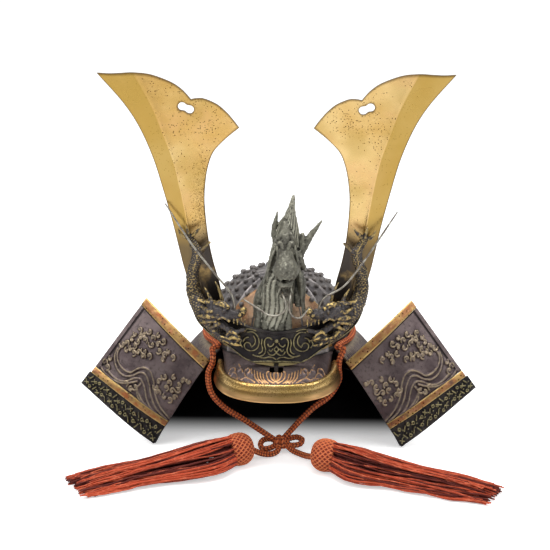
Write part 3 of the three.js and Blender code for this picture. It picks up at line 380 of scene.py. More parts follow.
def raised(points, lines, half_width):
    """Share from 0 to 1 of the height of round ridges along lines."""
    share = np.zeros(len(points))
    for line in lines:
        line = np.asarray(line, float)
        near = np.all((points > line.min(0) - half_width) & (points < line.max(0) + half_width), axis=1)
        gap = np.clip(line_distance(points[near], line) / half_width, 0, 1)
        share[near] = np.maximum(share[near], np.sqrt(1 - gap ** 2))
    return share


def curl(middle, radius, start, sweep, tighten=0.45):
    """Line that curls inwards round a middle."""
    t = np.linspace(0, 1, 14)
    turn = math.radians(start) + math.radians(sweep) * t
    reach = radius * (1 - tighten * t)
    return np.stack([middle[0] + reach * np.cos(turn), middle[1] + reach * np.sin(turn)], axis=1)


def mirrored(lines):
    return [np.asarray(line) * side for line in lines for side in ([1, 1], [-1, 1])]


# Meshes

def grid_faces(rows, columns, start=0, wrap=False):
    i = np.arange(columns if wrap else columns - 1)
    j = np.arange(rows - 1)[:, None]
    a = start + j * columns + i
    b = start + j * columns + (i + 1) % columns
    return np.stack([a, b, b + columns, a + columns], axis=-1).reshape(-1, 4).tolist()


def tube_mesh(rings):
    """Points and faces of a closed tube."""
    count = rings.shape[1]
    faces = grid_faces(len(rings), count, wrap=True)
    last = (len(rings) - 1) * count
    faces.append(list(range(count))[::-1])
    faces.append(list(range(last, last + count)))
    return rings.reshape(-1, 3), faces


def edge_loop(rows, columns):
    """Numbers of the points round the edge of a grid, back to the first."""
    return [
        *range(columns),
        *(j * columns + columns - 1 for j in range(1, rows)),
        *((rows - 1) * columns + i for i in range(columns - 2, -1, -1)),
        *(j * columns for j in range(rows - 2, -1, -1)),
    ]


def plate_mesh(front, back, step=BACK_STEP):
    """Points and faces of a closed plate between two grids, the back one thinned to every step-th line."""
    back = back[::step, ::step]
    rows, columns = front.shape[:2]
    size = rows * columns
    faces = grid_faces(rows, columns)
    faces += [face[::-1] for face in grid_faces(*back.shape[:2], size)]
    fine = edge_loop(rows, columns)
    coarse = [size + i for i in edge_loop(*back.shape[:2])]
    for i, (a, b) in enumerate(zip(coarse, coarse[1:])):
        faces.append(fine[i * step:(i + 1) * step + 1][::-1] + [a, b])
    return np.concatenate([front.reshape(-1, 3), back.reshape(-1, 3)]), faces


def ball_mesh(place, radius, round_count=12, stretch=(1, 1, 1)):
    rises = np.linspace(-math.pi / 2, math.pi / 2, round_count // 2 + 1)
    turns = np.arange(round_count) * 2 * math.pi / round_count
    rings = np.stack([
        np.cos(rises)[:, None] * np.cos(turns), np.cos(rises)[:, None] * np.sin(turns),
        np.broadcast_to(np.sin(rises)[:, None], (len(rises), round_count)),
    ], axis=-1)
    return tube_mesh(np.asarray(place) + radius * np.asarray(stretch) * rings)


def merged(meshes):
    """One list of points and one of faces out of several."""
    points, faces, start = [], [], 0
    for more_points, more_faces in meshes:
        points.append(more_points)
        faces += [[start + i for i in face] for face in more_faces]
        start += len(more_points)
    return np.concatenate(points), faces


def new_object(name, points, faces):
    mesh = bpy.data.meshes.new(name)
    mesh.from_pydata(from_axis(points).tolist(), [], faces)
    mesh.update()
    build = bmesh.new()
    build.from_mesh(mesh)
    bmesh.ops.remove_doubles(build, verts=build.verts, dist=1e-6)
    bmesh.ops.recalc_face_normals(build, faces=build.faces)
    build.to_mesh(mesh)
    build.free()
    return put_in_scene(name, mesh)


def with_modifier(thing, kind, **settings):
    """Puts a modifier on a piece and keeps its result as the piece's own mesh."""
    modifier = thing.modifiers.new(kind.lower(), kind)
    for key, value in settings.items():
        setattr(modifier, key, value)
    bpy.context.view_layer.update()
    result = bpy.data.meshes.new_from_object(thing.evaluated_get(bpy.context.evaluated_depsgraph_get()))
    thing.modifiers.clear()
    thing.data = result


def cut_out(thing, cutter):
    with_modifier(thing, "BOOLEAN", operation="DIFFERENCE", object=cutter, solver="EXACT")
    bpy.data.objects.remove(cutter)


def mesh_arrays(mesh):
    points = np.empty(len(mesh.vertices) * 3)
    normals = np.empty(len(mesh.vertices) * 3)
    edges = np.empty(len(mesh.edges) * 2, dtype=int)
    mesh.vertices.foreach_get("co", points)
    mesh.vertices.foreach_get("normal", normals)
    mesh.edges.foreach_get("vertices", edges)
    return points.reshape(-1, 3), normals.reshape(-1, 3), edges.reshape(-1, 2)


def proudness(mesh, rounds, reach):
    """How far each point stands out of its surroundings: 0.5 is level with them."""
    points, normals, edges = mesh_arrays(mesh)
    count = np.bincount(edges.ravel(), minlength=len(points))[:, None]
    smooth = points
    for _ in range(rounds):
        total = np.stack([
            np.bincount(edges[:, 0], smooth[edges[:, 1], k], len(points))
            + np.bincount(edges[:, 1], smooth[edges[:, 0], k], len(points)) for k in range(3)
        ], axis=1)
        smooth = total / np.maximum(count, 1)
    return np.clip(0.5 + ((points - smooth) * normals).sum(1) / reach / 2, 0, 1)


def set_mark(mesh, name, values, rest=0.0):
    """Keeps a share for each point of a mesh, for its material to read: rest is the share past the values."""
    shares = np.full(len(mesh.vertices), rest, np.float32)
    shares[:len(values)] = values
    mark = mesh.attributes.new(name, "FLOAT", "POINT")
    mark.data.foreach_set("value", shares)


def finish_piece(thing, material, replaces=(), sharp=35):
    thing.data.materials.clear()
    thing.data.materials.append(material)
    thing.data.shade_smooth()
    thing.data.set_sharp_from_angle(angle=math.radians(sharp))
    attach(thing, "root")
    if replaces:
        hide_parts(*replaces)
    return thing


# Materials

def colour(red, green, blue):
    """Linear colour of an eight-bit one."""
    def linear(value):
        value /= 255
        return value / 12.92 if value <= 0.04045 else ((value + 0.055) / 1.055) ** 2.4
    return (linear(red), linear(green), linear(blue), 1)


def new_group(name, inputs, outputs):
    """Empty node group, with its input and output nodes. Inputs are (name, value) pairs."""
    group = bpy.data.node_groups.new(name, "ShaderNodeTree")
    for label, value in inputs:
        socket = group.interface.new_socket(name=label, in_out="INPUT", socket_type="NodeSocketFloat")
        socket.default_value = value
    for label in outputs:
        group.interface.new_socket(name=label, in_out="OUTPUT", socket_type="NodeSocketFloat")
    return group, group.nodes.new("NodeGroupInput"), group.nodes.new("NodeGroupOutput")


def math_node(tree, operation, first, second=None, clamp=False):
    node = tree.nodes.new("ShaderNodeMath")
    node.operation = operation
    node.use_clamp = clamp
    for socket, value in zip(node.inputs, (first, second)):
        if value is None:
            continue
        if isinstance(value, (int, float)):
            socket.default_value = value
        else:
            tree.links.new(value, socket)
    return node.outputs[0]


def noise_node(tree, scale, detail=3, roughness=0.55, place=None):
    node = tree.nodes.new("ShaderNodeTexNoise")
    node.inputs["Detail"].default_value = detail
    node.inputs["Roughness"].default_value = roughness
    if isinstance(scale, (int, float)):
        node.inputs["Scale"].default_value = scale
    else:
        tree.links.new(scale, node.inputs["Scale"])
    if place is None:
        place = tree.nodes.new("ShaderNodeTexCoord").outputs["Object"]
    tree.links.new(place, node.inputs["Vector"])
    return node.outputs["Fac"]


def step_node(tree, value, low, high):
    """Share from 0 at low to 1 at high, eased."""
    node = tree.nodes.new("ShaderNodeMapRange")
    node.interpolation_type = "SMOOTHSTEP"
    for name, source in (("Value", value), ("From Min", low), ("From Max", high)):
        if isinstance(source, (int, float)):
            node.inputs[name].default_value = source
        else:
            tree.links.new(source, node.inputs[name])
    return node.outputs["Result"]


def rubbed_and_highlit_group():
    """Where a patina is rubbed through on what stands proud. The same lighter tops partly serve as a painted
    highlight along ridges.
    """
    group, given, out = new_group("rubbed_and_highlit_high_points", [
        ("Proud", 0.5), ("Start", 0.55), ("End", 0.8), ("Grain", 500), ("Unevenness", 0.3),
    ], ["Mask"])
    grain = noise_node(group, given.outputs["Grain"])
    centred = math_node(group, "SUBTRACT", grain, 0.5)
    uneven = math_node(group, "MULTIPLY", centred, given.outputs["Unevenness"])
    proud = math_node(group, "ADD", given.outputs["Proud"], uneven)
    mask = step_node(group, proud, given.outputs["Start"], given.outputs["End"])
    group.links.new(mask, out.inputs["Mask"])
    return group


def pits_group():
    """Small dark pits, denser where the patches noise is high."""
    group, given, out = new_group("brown_pits", [
        ("Size", 900), ("Density", 0.5), ("Patches", 18),
    ], ["Mask"])
    cells = group.nodes.new("ShaderNodeTexVoronoi")
    place = group.nodes.new("ShaderNodeTexCoord").outputs["Object"]
    group.links.new(place, cells.inputs["Vector"])
    group.links.new(given.outputs["Size"], cells.inputs["Scale"])
    patches = noise_node(group, given.outputs["Patches"], detail=5, roughness=0.7)
    crowd = math_node(group, "MULTIPLY", step_node(group, patches, 0.38, 0.72), given.outputs["Density"])
    seed = group.nodes.new("ShaderNodeSeparateColor")
    group.links.new(cells.outputs["Color"], seed.inputs["Color"])
    chosen = math_node(group, "LESS_THAN", seed.outputs[0], crowd)
    spot = math_node(group, "SUBTRACT", 1.0, step_node(group, cells.outputs["Distance"], 0.2, 0.5))
    group.links.new(math_node(group, "MULTIPLY", chosen, spot), out.inputs["Mask"])
    return group


def casting_group():
    """Uneven skin of a sand or wax casting."""
    group, given, out = new_group("casting_skin", [("Coarse", 220), ("Fine", 1500)], ["Height"])
    coarse = noise_node(group, given.outputs["Coarse"], detail=4)
    fine = math_node(group, "MULTIPLY", noise_node(group, given.outputs["Fine"], detail=2), 0.35)
    group.links.new(math_node(group, "ADD", coarse, fine), out.inputs["Height"])
    return group


def yarn_group():
    """Fine fibres that run along a strand."""
    group, given, out = new_group("yarn_fibres", [("Along", 300), ("Fibres", 2500)], ["Height", "Shade"])
    fine = noise_node(group, given.outputs["Fibres"], detail=3, roughness=0.7)
    broad = noise_node(group, given.outputs["Along"], detail=3)
    group.links.new(fine, out.inputs["Height"])
    group.links.new(broad, out.inputs["Shade"])
    return group


GROUPS = {
    "rubbed": rubbed_and_highlit_group(), "pits": pits_group(), "casting": casting_group(), "yarn": yarn_group(),
}


class Finish:
    """A material being made: its node tree, its shader and a few short ways to add nodes."""

    def __init__(self, name, base, roughness, metallic):
        self.material = bpy.data.materials.new(name)
        self.material.use_nodes = True
        self.tree = self.material.node_tree
        self.shader = self.tree.nodes["Principled BSDF"]
        self.shader.inputs["Metallic"].default_value = metallic
        self.shader.inputs["Roughness"].default_value = roughness
        self.shader.inputs["Base Color"].default_value = base
        self.base = None
        self.start_colour = base
        self.rough = None
        self.start_rough = roughness

    def mark(self, name):
        node = self.tree.nodes.new("ShaderNodeAttribute")
        node.attribute_name = name
        return node.outputs["Fac"]

    def group(self, key, **inputs):
        node = self.tree.nodes.new("ShaderNodeGroup")
        node.node_tree = GROUPS[key]
        for name, value in inputs.items():
            if isinstance(value, (int, float)):
                node.inputs[name].default_value = value
            else:
                self.tree.links.new(value, node.inputs[name])
        return node.outputs

    def noise(self, scale, low=0.35, high=0.65, detail=4):
        return step_node(self.tree, noise_node(self.tree, scale, detail=detail), low, high)

    def times(self, first, second):
        return math_node(self.tree, "MULTIPLY", first, second)

    def less(self, first, second):
        return math_node(self.tree, "SUBTRACT", first, second, clamp=True)

    def lay(self, mask, over, roughness=None):
        """Lays a colour, and a roughness, over what is there, where the mask says."""
        mix = self.tree.nodes.new("ShaderNodeMix")
        mix.data_type = "RGBA"
        self.tree.links.new(mask, mix.inputs["Factor"])
        if self.base is None:
            mix.inputs["A"].default_value = self.start_colour
        else:
            self.tree.links.new(self.base, mix.inputs["A"])
        mix.inputs["B"].default_value = over
        self.base = mix.outputs["Result"]
        self.tree.links.new(self.base, self.shader.inputs["Base Color"])
        if roughness is None:
            return
        blend = self.tree.nodes.new("ShaderNodeMix")
        self.tree.links.new(mask, blend.inputs["Factor"])
        if self.rough is None:
            blend.inputs["A"].default_value = self.start_rough
        else:
            self.tree.links.new(self.rough, blend.inputs["A"])
        blend.inputs["B"].default_value = roughness
        self.rough = blend.outputs["Result"]
        self.tree.links.new(self.rough, self.shader.inputs["Roughness"])

    def bump(self, height, distance, strength=1.0):
        node = self.tree.nodes.new("ShaderNodeBump")
        node.inputs["Strength"].default_value = strength
        node.inputs["Distance"].default_value = distance
        self.tree.links.new(height, node.inputs["Height"])
        if self.shader.inputs["Normal"].is_linked:
            self.tree.links.new(self.shader.inputs["Normal"].links[0].from_socket, node.inputs["Normal"])
        self.tree.links.new(node.outputs["Normal"], self.shader.inputs["Normal"])


GILT = colour(208, 168, 98)
GILT_PALE = colour(232, 200, 138)
GILT_PEACH = colour(228, 182, 126)
GILT_RUBBED = colour(206, 178, 112)
# Darker gilt for painted shade on the horns' outer facets and for painted reflection streaks.
SHADED_GILT = colour(176, 144, 70)
BROWN_PIT = colour(78, 54, 26)
PANEL_BEIGE = colour(152, 130, 108)
EDGE_SHADE = colour(84, 62, 36)
PURPLE_BROWN = colour(84, 72, 73)
PURPLE_LIGHT = colour(116, 103, 102)
PALE_BRONZE = colour(156, 140, 114)
BOWL_GREY = colour(86, 82, 83)
BOWL_LIGHT = colour(126, 121, 119)
NEAR_BLACK = colour(34, 31, 33)
NEAR_BLACK_LIGHT = colour(64, 60, 58)
DULL_GILT = colour(154, 144, 104)
COPPER = colour(154, 110, 76)
PALE_COPPER = colour(178, 144, 92)
RUST = colour(164, 96, 62)
SCROLL_COPPER = colour(216, 168, 118)
PEWTER_DARK = colour(46, 45, 41)
PEWTER_GREY = colour(100, 98, 89)
PEWTER_LIGHT = colour(172, 170, 154)
CORD_ORANGE = colour(204, 100, 48)
CORD_PALE = colour(236, 150, 92)
CORD_DARK = colour(92, 34, 16)
TASSEL_RED = colour(190, 74, 40)
TASSEL_PALE = colour(228, 124, 88)
TASSEL_DARK = colour(84, 20, 12)


def gilt_finish():
    finish = Finish("polished_gilt_brass", GILT, 0.27, 1.0)
    finish.lay(finish.noise(16), GILT_PALE, 0.22)
    finish.lay(finish.times(finish.noise(34, 0.48, 0.75), 0.6), GILT_PEACH, 0.36)
    pits = finish.group("pits", Size=860, Density=finish.mark("pitted"), Patches=30)
    finish.lay(pits["Mask"], BROWN_PIT, 0.7)
    rash = finish.times(finish.mark("rash"), finish.noise(1100, 0.46, 0.58))
    finish.lay(finish.times(rash, 0.85), colour(112, 84, 44), 0.6)
    # Painted shade: the horns' outer facets are laid darker, as if turned from the light.
    finish.lay(finish.mark("painted_shade_outer_facet"), SHADED_GILT, 0.3)
    # Painted highlight: the rim's lower lip laid lighter, in peach.
    finish.lay(finish.mark("painted_highlight_lip"), GILT_PEACH, 0.32)
    # Painted reflection: broad darker streaks laid over the gilt.
    painted_reflection_streaks = finish.times(finish.noise(24, 0.45, 0.7, detail=2), 0.5)
    finish.lay(painted_reflection_streaks, SHADED_GILT, 0.24)
    foot = finish.times(finish.mark("foot"), finish.noise(55, 0.22, 0.5))
    finish.lay(foot, colour(76, 70, 66), 0.42)
    # Painted shade: darker along the horns' edges and round their eye holes, and in the band between the
    # rim's roll and its lip.
    finish.lay(finish.mark("edge"), EDGE_SHADE, 0.5)
    finish.bump(finish.group("casting", Coarse=70, Fine=900)["Height"], 0.00025)
    return finish.material


def patina_finish(name, base, light, gilt, start, end, roughness, wear_and_highlight=1.0, gilded=False):
    """Patinated bronze, rubbed to gilt on what stands proud, and gilt all over where that is marked. The
    lighter proud tops are partly a painted highlight along the ridges.
    """
    finish = Finish(name, base, roughness, 0.8)
    finish.lay(finish.noise(45), light, roughness + 0.06)
    finish.lay(finish.times(finish.noise(320, 0.5, 0.75), 0.5), NEAR_BLACK)
    # Darker in the hollows: patina there, and painted shade on the insides of the bowl and neck guard, whose
    # proud share is 0.
    hollow = finish.less(1.0, step_node(finish.tree, finish.mark("proud"), 0.2, 0.46))
    finish.lay(finish.times(hollow, 0.75), NEAR_BLACK, 0.6)
    rubbed = finish.group(
        "rubbed", Proud=finish.mark("proud"), Start=start, End=end, Grain=420, Unevenness=0.8,
    )
    # Lighter proud tops: rubbed gilt, and partly a painted highlight along the ridges.
    finish.lay(finish.times(rubbed["Mask"], wear_and_highlight), gilt, 0.34)
    if gilded:
        raised_gilt = step_node(finish.tree, finish.mark("proud"), 0.46, 0.62)
        patchy = finish.times(finish.mark("gilded"), finish.noise(300, 0.38, 0.56))
        finish.lay(finish.times(patchy, raised_gilt), gilt, 0.3)
    finish.bump(finish.group("casting", Coarse=260, Fine=1500)["Height"], 0.00035)
    return finish.material


def copper_finish():
    finish = Finish("worn_copper_gilt", COPPER, 0.45, 1.0)
    finish.lay(finish.noise(70, 0.4, 0.6), PALE_COPPER, 0.36)
    finish.lay(finish.times(finish.noise(110, 0.5, 0.66), 0.8), RUST, 0.5)
    finish.lay(finish.times(finish.noise(260, 0.56, 0.7), 0.7), colour(190, 142, 108))
    finish.lay(finish.times(finish.noise(150, 0.52, 0.68), 0.7), PURPLE_BROWN, 0.5)
    finish.lay(finish.mark("thin_edge"), GILT_RUBBED, 0.36)
    finish.lay(finish.group("pits", Size=500, Density=0.6, Patches=60)["Mask"], colour(84, 60, 40), 0.7)
    finish.bump(finish.group("casting", Coarse=300, Fine=1500)["Height"], 0.0004)
    return finish.material


def pewter_finish():
    finish = Finish("grey_green_pewter", PEWTER_GREY, 0.5, 0.75)
    finish.lay(finish.noise(70), colour(126, 125, 112), 0.55)
    hollow = finish.less(1.0, step_node(finish.tree, finish.mark("proud"), 0.3, 0.52))
    finish.lay(hollow, PEWTER_DARK, 0.65)
    rubbed = finish.group(
        "rubbed", Proud=finish.mark("proud"), Start=0.52, End=0.8, Grain=500, Unevenness=0.4,
    )
    finish.lay(rubbed["Mask"], PEWTER_LIGHT, 0.45)
    finish.bump(finish.group("casting", Coarse=420, Fine=1800)["Height"], 0.0006)
    return finish.material


def wire_finish():
    finish = Finish("plain_wire", colour(176, 172, 160), 0.3, 1.0)
    finish.lay(finish.noise(200), colour(120, 112, 104), 0.4)
    finish.bump(finish.group("casting", Coarse=600, Fine=2000)["Height"], 0.0001)
    return finish.material


def yarn_finish(name, base, dark, light):
    """Matt yarn, with painted shade between and inside its strands and a painted highlight on their tops."""
    finish = Finish(name, base, 0.82, 0.0)
    yarn = finish.group("yarn", Along=260, Fibres=2600)
    finish.lay(finish.times(step_node(finish.tree, yarn["Shade"], 0.5, 0.72), 0.6), light)
    # Painted highlight on the tops of the strands.
    finish.lay(finish.times(step_node(finish.tree, finish.mark("proud"), 0.84, 1.0), 0.7), light)
    # Painted shade where the strands are low or inside the skirt.
    finish.lay(finish.less(1.0, step_node(finish.tree, finish.mark("proud"), 0.05, 0.55)), dark)
    # Painted highlight on the raised cords of the tassel head's net.
    finish.lay(finish.mark("painted_net_highlight"), CORD_PALE)
    finish.bump(yarn["Height"], 0.0003)
    return finish.material


FINISHES = {
    "gilt": gilt_finish(),
    "bowl": patina_finish("grey_purple_bronze", BOWL_GREY, BOWL_LIGHT, BOWL_LIGHT, 0.6, 0.9, 0.4),
    # The pale tops of the wave relief are partly rubbed metal and partly a painted highlight.
    "relief": patina_finish(
        "purple_bronze", PURPLE_BROWN, PURPLE_LIGHT, PALE_BRONZE, 0.6, 1.0, 0.42, wear_and_highlight=0.8,
    ),
    "scrolls": patina_finish(
        "scrolled_bronze", PURPLE_BROWN, PURPLE_LIGHT, SCROLL_COPPER, 0.52, 0.85, 0.4, wear_and_highlight=0.95,
    ),
    "dark": patina_finish("black_bronze", NEAR_BLACK, NEAR_BLACK_LIGHT, DULL_GILT, 0.64, 1.0, 0.4, wear_and_highlight=0.85),
    "dragon": patina_finish(
        "gilt_dragon_bronze", NEAR_BLACK_LIGHT, BOWL_GREY, GILT_RUBBED, 0.6, 0.95, 0.4, wear_and_highlight=0.6, gilded=True,
    ),
    "panel": patina_finish("pale_gilt_panel", PANEL_BEIGE, COPPER, GILT_RUBBED, 0.6, 1, 0.45),
    "copper": copper_finish(),
    "pewter": pewter_finish(),
    "wire": wire_finish(),
    "cord": yarn_finish("braided_orange_cord", CORD_ORANGE, CORD_DARK, CORD_PALE),
    "tassel": yarn_finish("twisted_tassel_yarn", TASSEL_RED, TASSEL_DARK, TASSEL_PALE),
}


# Cord, knot and tassels. Routes go across, back and up from the bowl's axis.

def bowl_point(turn, rise, outset):
    power = 2 / BOWL_FULLNESS
    out = signed_power(np.cos(rise * math.pi / 2), power)
    height = BOWL_RIM_HEIGHT + (BOWL_HEIGHT + outset) * signed_power(np.sin(rise * math.pi / 2), power)
    return np.stack(np.broadcast_arrays(
        (BOWL_HALF_WIDTH + outset) * out * np.sin(turn),
        -(BOWL_HALF_LENGTH + outset) * out * np.cos(turn),
        height,
    ), axis=-1)


CORD_RIGHT = [
    (0.0043, -0.0604, 0.0092), (0.0286, -0.055, 0.0348), (0.043, -0.05, 0.0446),
    (0.0508, -0.0465, 0.0582), (0.0506, -0.046, 0.066), (0.0508, -0.047, 0.075),
    (0.054, -0.0425, 0.0834),
]
CORD_LEFT = [
    (-0.0535, -0.0445, 0.0836), (-0.053, -0.0505, 0.0796), (-0.0534, -0.0523, 0.0734),
    (-0.0566, -0.052, 0.0654), (-0.0566, -0.052, 0.0548), (-0.0529, -0.054, 0.045),
    (-0.0429, -0.056, 0.0352), (-0.0279, -0.06, 0.027), (-0.0009, -0.0619, 0.009),
]
TAIL_LEFT = [
    (0.0015, -0.064, 0.0058), (0.0006, -0.0706, 0.0034), (-0.0046, -0.076, 0.0029),
    (-0.0122, -0.08, 0.0052), (-0.0215, -0.0868, 0.0124),
]
TAIL_RIGHT = [
    (0.0072, -0.0625, 0.0064), (0.0125, -0.0685, 0.0036), (0.0195, -0.075, 0.0031),
    (0.0255, -0.0835, 0.0048), (0.0293, -0.0915, 0.008), (0.032, -0.0982, 0.012),
]


def groove_places():
    """Route round the back of the bowl, in the groove above the neck guard."""
    turns = np.radians(np.linspace(CORD_GROOVE_TURN, 360 - CORD_GROOVE_TURN, CORD_GROOVE_STEPS + 1))
    places = bowl_point(turns, np.zeros(len(turns)), CORD_GROOVE_OUT)
    places[:, 2] = CORD_GROOVE_HEIGHT
    return places


def braid_height(turn, along):
    """Height share of a round braid, whose strands slant one way and the other by turns."""
    column = np.floor(turn / (math.pi / 3) + 0.5)
    slant = np.where(column % 2 < 1, 1.0, -1.0)
    from_middle = turn - column * math.pi / 3
    phase = along / CORD_DIAMETER * 2 * math.pi * BRAID_CYCLES
    strand = 0.5 + 0.5 * np.cos(phase + slant * from_middle * BRAID_SLANT)
    edge = np.clip(1 - (np.abs(from_middle) / (math.pi / 6)) ** 4, 0, 1)
    return strand * edge


def braid_on(path):
    """Height share of the braid at each point of the rings round a path."""
    turn = np.arange(CORD_SIDES) * 2 * math.pi / CORD_SIDES
    return braid_height(turn[None], np.arange(len(path))[:, None] * CORD_STEP)


def braided_cord(name, rows):
    path = even_path(rows, CORD_STEP)
    height = braid_on(path)
    rings = tube_rings(path, CORD_DIAMETER / 2 * lerp(BRAID_LOW, BRAID_HIGH, height), CORD_SIDES)
    thing = new_object(name, *tube_mesh(rings))
    # The braid's height share lays painted shade in its grooves and a painted highlight on its crests.
    set_mark(thing.data, "proud", height.ravel())
    return thing, path


def knot_bow():
    """Small bow: a loop on each side, a band round its middle and a neck between them."""
    middle = np.array([0.002, -0.061, 0.0066])
    loops = [
        [(-0.002, -0.001, 0.001), (-0.007, 0.0028, 0.0022), (-0.0135, 0.0016, 0.0016),
         (-0.0156, -0.0026, -0.0006), (-0.0135, -0.0062, -0.0026), (-0.0075, -0.0058, -0.0022),
         (-0.0015, -0.0022, 0.0)],
        [(0.003, 0.0, 0.001), (0.0075, 0.0036, 0.0022), (0.0145, 0.0062, 0.0026), (0.0186, 0.0042, 0.0014),
         (0.0172, -0.0002, -0.0006), (0.0095, -0.0016, -0.0014), (0.0035, -0.0012, 0.0)],
    ]
    bands = [
        [(-0.0022, -0.0052, -0.0022), (-0.0018, -0.0048, 0.0028), (-0.0006, 0.0, 0.0048),
         (0.0002, 0.0048, 0.0016), (0.0004, 0.0046, -0.0026)],
        [(0.0034, -0.0054, -0.0024), (0.003, -0.0046, 0.0026), (0.0034, 0.0004, 0.0044),
         (0.0046, 0.005, 0.0014), (0.0046, 0.0044, -0.0026)],
        [(-0.0046, 0.0018, 0.0016), (0.0012, -0.0012, 0.0042), (0.0072, -0.0026, 0.0004),
         (0.0064, -0.0048, -0.003)],
    ]
    meshes, heights = [], []
    for rows in loops + bands:
        path = middle + even_path(rows, CORD_STEP)
        height = braid_on(path)
        radius = KNOT_STRAND_RADIUS * lerp(BRAID_LOW, BRAID_HIGH, height)
        meshes.append(tube_mesh(tube_rings(path, radius, CORD_SIDES)))
        heights.append(height.ravel())
    thing = new_object("cord_bow", *merged(meshes))
    # The braid's height share lays painted shade in its grooves and a painted highlight on its crests.
    set_mark(thing.data, "proud", np.concatenate(heights))
    return thing


TASSEL_SKIRTS = {
    -1: [
        (-0.036, -0.094, 0.0125, 0.026), (-0.056, -0.104, 0.024, 0.024), (-0.097, -0.117, 0.0225, 0.015),
        (-0.130, -0.130, 0.0235, 0.011), (-0.159, -0.146, 0.022, 0.007),
    ],
    1: [
        (0.047, -0.103, 0.0125, 0.026), (0.066, -0.109, 0.024, 0.023), (0.100, -0.119, 0.023, 0.015),
        (0.140, -0.134, 0.022, 0.011), (0.175, -0.150, 0.018, 0.007),
    ],
}
TASSEL_HEAD = [(0, -0.5), (0.86, -0.5), (1, -0.2), (0.97, 0.2), (0.72, 0.5), (0.3, 0.62), (0, 0.64)]


def tassel_strands(side):
    """Skirt of many thin twisted strands that spread from the head and end raggedly."""
    rows = np.array(TASSEL_SKIRTS[side])
    meshes, heights = [], []
    for index in range(STRAND_COUNT):
        outer = index < STRAND_COUNT * 0.72
        angle = rng.uniform(0, 2 * math.pi)
        reach = rng.uniform(0.86, 1.02) if outer else math.sqrt(rng.uniform(0.05, 0.7))
        across, lift = reach * math.cos(angle), reach * math.sin(angle)
        end = (len(rows) - 1) * rng.uniform(0.9, 1.0)
        if index % 23 == 0:
            end *= 0.86
        at = np.linspace(0, end, STRAND_STEPS)
        middle = spline(rows, at)
        heading = unit(np.gradient(middle[:, :2], axis=0))
        sideways = np.stack([-heading[:, 1], heading[:, 0]], axis=1)
        share = at / (len(rows) - 1)
        drift = rng.uniform(-0.55, 0.55) * share ** 1.2 * (1 if index % 29 else 1.8)
        wave = STRAND_WAVE * share * (
            np.sin(at * rng.uniform(1.6, 3.4) + rng.uniform(0, 6.3))
            + 0.4 * np.sin(at * rng.uniform(5, 8) + rng.uniform(0, 6.3))
        )
        bob = 0.0007 * share * np.sin(at * rng.uniform(2, 5) + rng.uniform(0, 6.3))
        spread = across + drift - 1.1 * across * np.abs(drift)
        offset = np.clip(spread, -1.06, 1.06) * (middle[:, 2] - STRAND_RADIUS) + wave
        place = middle[:, :2] + sideways * offset[:, None]
        room = middle[:, 3] * np.sqrt(np.clip(1 - (offset / middle[:, 2]) ** 2 * 0.8, 0.1, 1))
        height = STRAND_RADIUS * 1.3 + (room - 2 * STRAND_RADIUS) * (0.5 + 0.5 * lift) + bob
        height = np.maximum(height, STRAND_RADIUS * 1.3)
        path = np.column_stack([place, height])
        turn = (np.arange(5) * 2 * math.pi / 5)[None]
        twist = 0.5 + 0.5 * np.cos(2 * turn - np.arange(STRAND_STEPS)[:, None] * 2.1)
        radius = STRAND_RADIUS * rng.uniform(0.85, 1.1) * lerp(0.78, 1.12, twist)
        meshes.append(tube_mesh(tube_rings(path, radius, 5)))
        # Outer strands take a random tone. The inner ones take a dark tone, painted shade inside the skirt,
        # and the twist darkens each strand's grooves as painted shade.
        tone = rng.choice([0.16, 0.4, 0.75, 1.0]) if outer else 0.12
        heights.append((tone * lerp(0.75, 1, twist)).ravel())
    return meshes, heights


def tassel_head(side):
    """Netted ball at the top of a tassel, with crossing cords raised on it."""
    rows = np.array(TASSEL_SKIRTS[side])
    inward = unit(np.array([*(rows[0] - rows[1])[:2], 0]))
    across = np.array([-inward[1], inward[0], 0])
    middle = np.array([rows[0][0], rows[0][1], 0]) + inward * TASSEL_HEAD_LONG * 0.45
    middle[2] = TASSEL_HEAD_RADIUS + SEAT_GAP
    at = np.linspace(0, len(TASSEL_HEAD) - 1, TASSEL_HEAD_ROWS)
    profile = spline(TASSEL_HEAD, at)
    turn = np.arange(TASSEL_HEAD_COLUMNS) * 2 * math.pi / TASSEL_HEAD_COLUMNS
    slant = profile[:, 1, None] * 26
    net = np.maximum(np.cos(turn * 20 + slant), np.cos(turn * 20 - slant))
    net = np.clip(net, 0, 1) ** 2
    out = np.maximum(profile[:, 0, None], 0) * TASSEL_HEAD_RADIUS * lerp(0.94, 1.02, net)
    rings = (middle + profile[:, 1, None, None] * TASSEL_HEAD_LONG * inward
             + out[..., None] * (np.cos(turn)[None, :, None] * across
                                 + np.sin(turn)[None, :, None] * np.array([0, 0, 1.0])))
    rings[..., 2] = np.maximum(rings[..., 2], SEAT_GAP)
    return tube_mesh(rings), net.ravel()


def tassel(side, label):
    meshes, heights = tassel_strands(side)
    head, net = tassel_head(side)
    points, faces = merged([head, *meshes])
    points[:, 2] = np.maximum(points[:, 2], SEAT_GAP / 2)
    name = "tassel_skirt_" + label
    thing = put_in_scene(name, bpy.data.meshes.new(name))
    thing.data.from_pydata(from_axis(points).tolist(), [], faces)
    thing.data.update()
    # The net's gaps read darker as painted shade.
    set_mark(thing.data, "proud", np.concatenate([0.2 + 0.6 * net, *heights]))
    # The net's raised cords are marked for a painted highlight.
    set_mark(thing.data, "painted_net_highlight", np.concatenate([0.85 * net ** 3, *[0 * height for height in heights]]))
    return finish_piece(thing, FINISHES["tassel"], ["tassel_" + label], sharp=60)


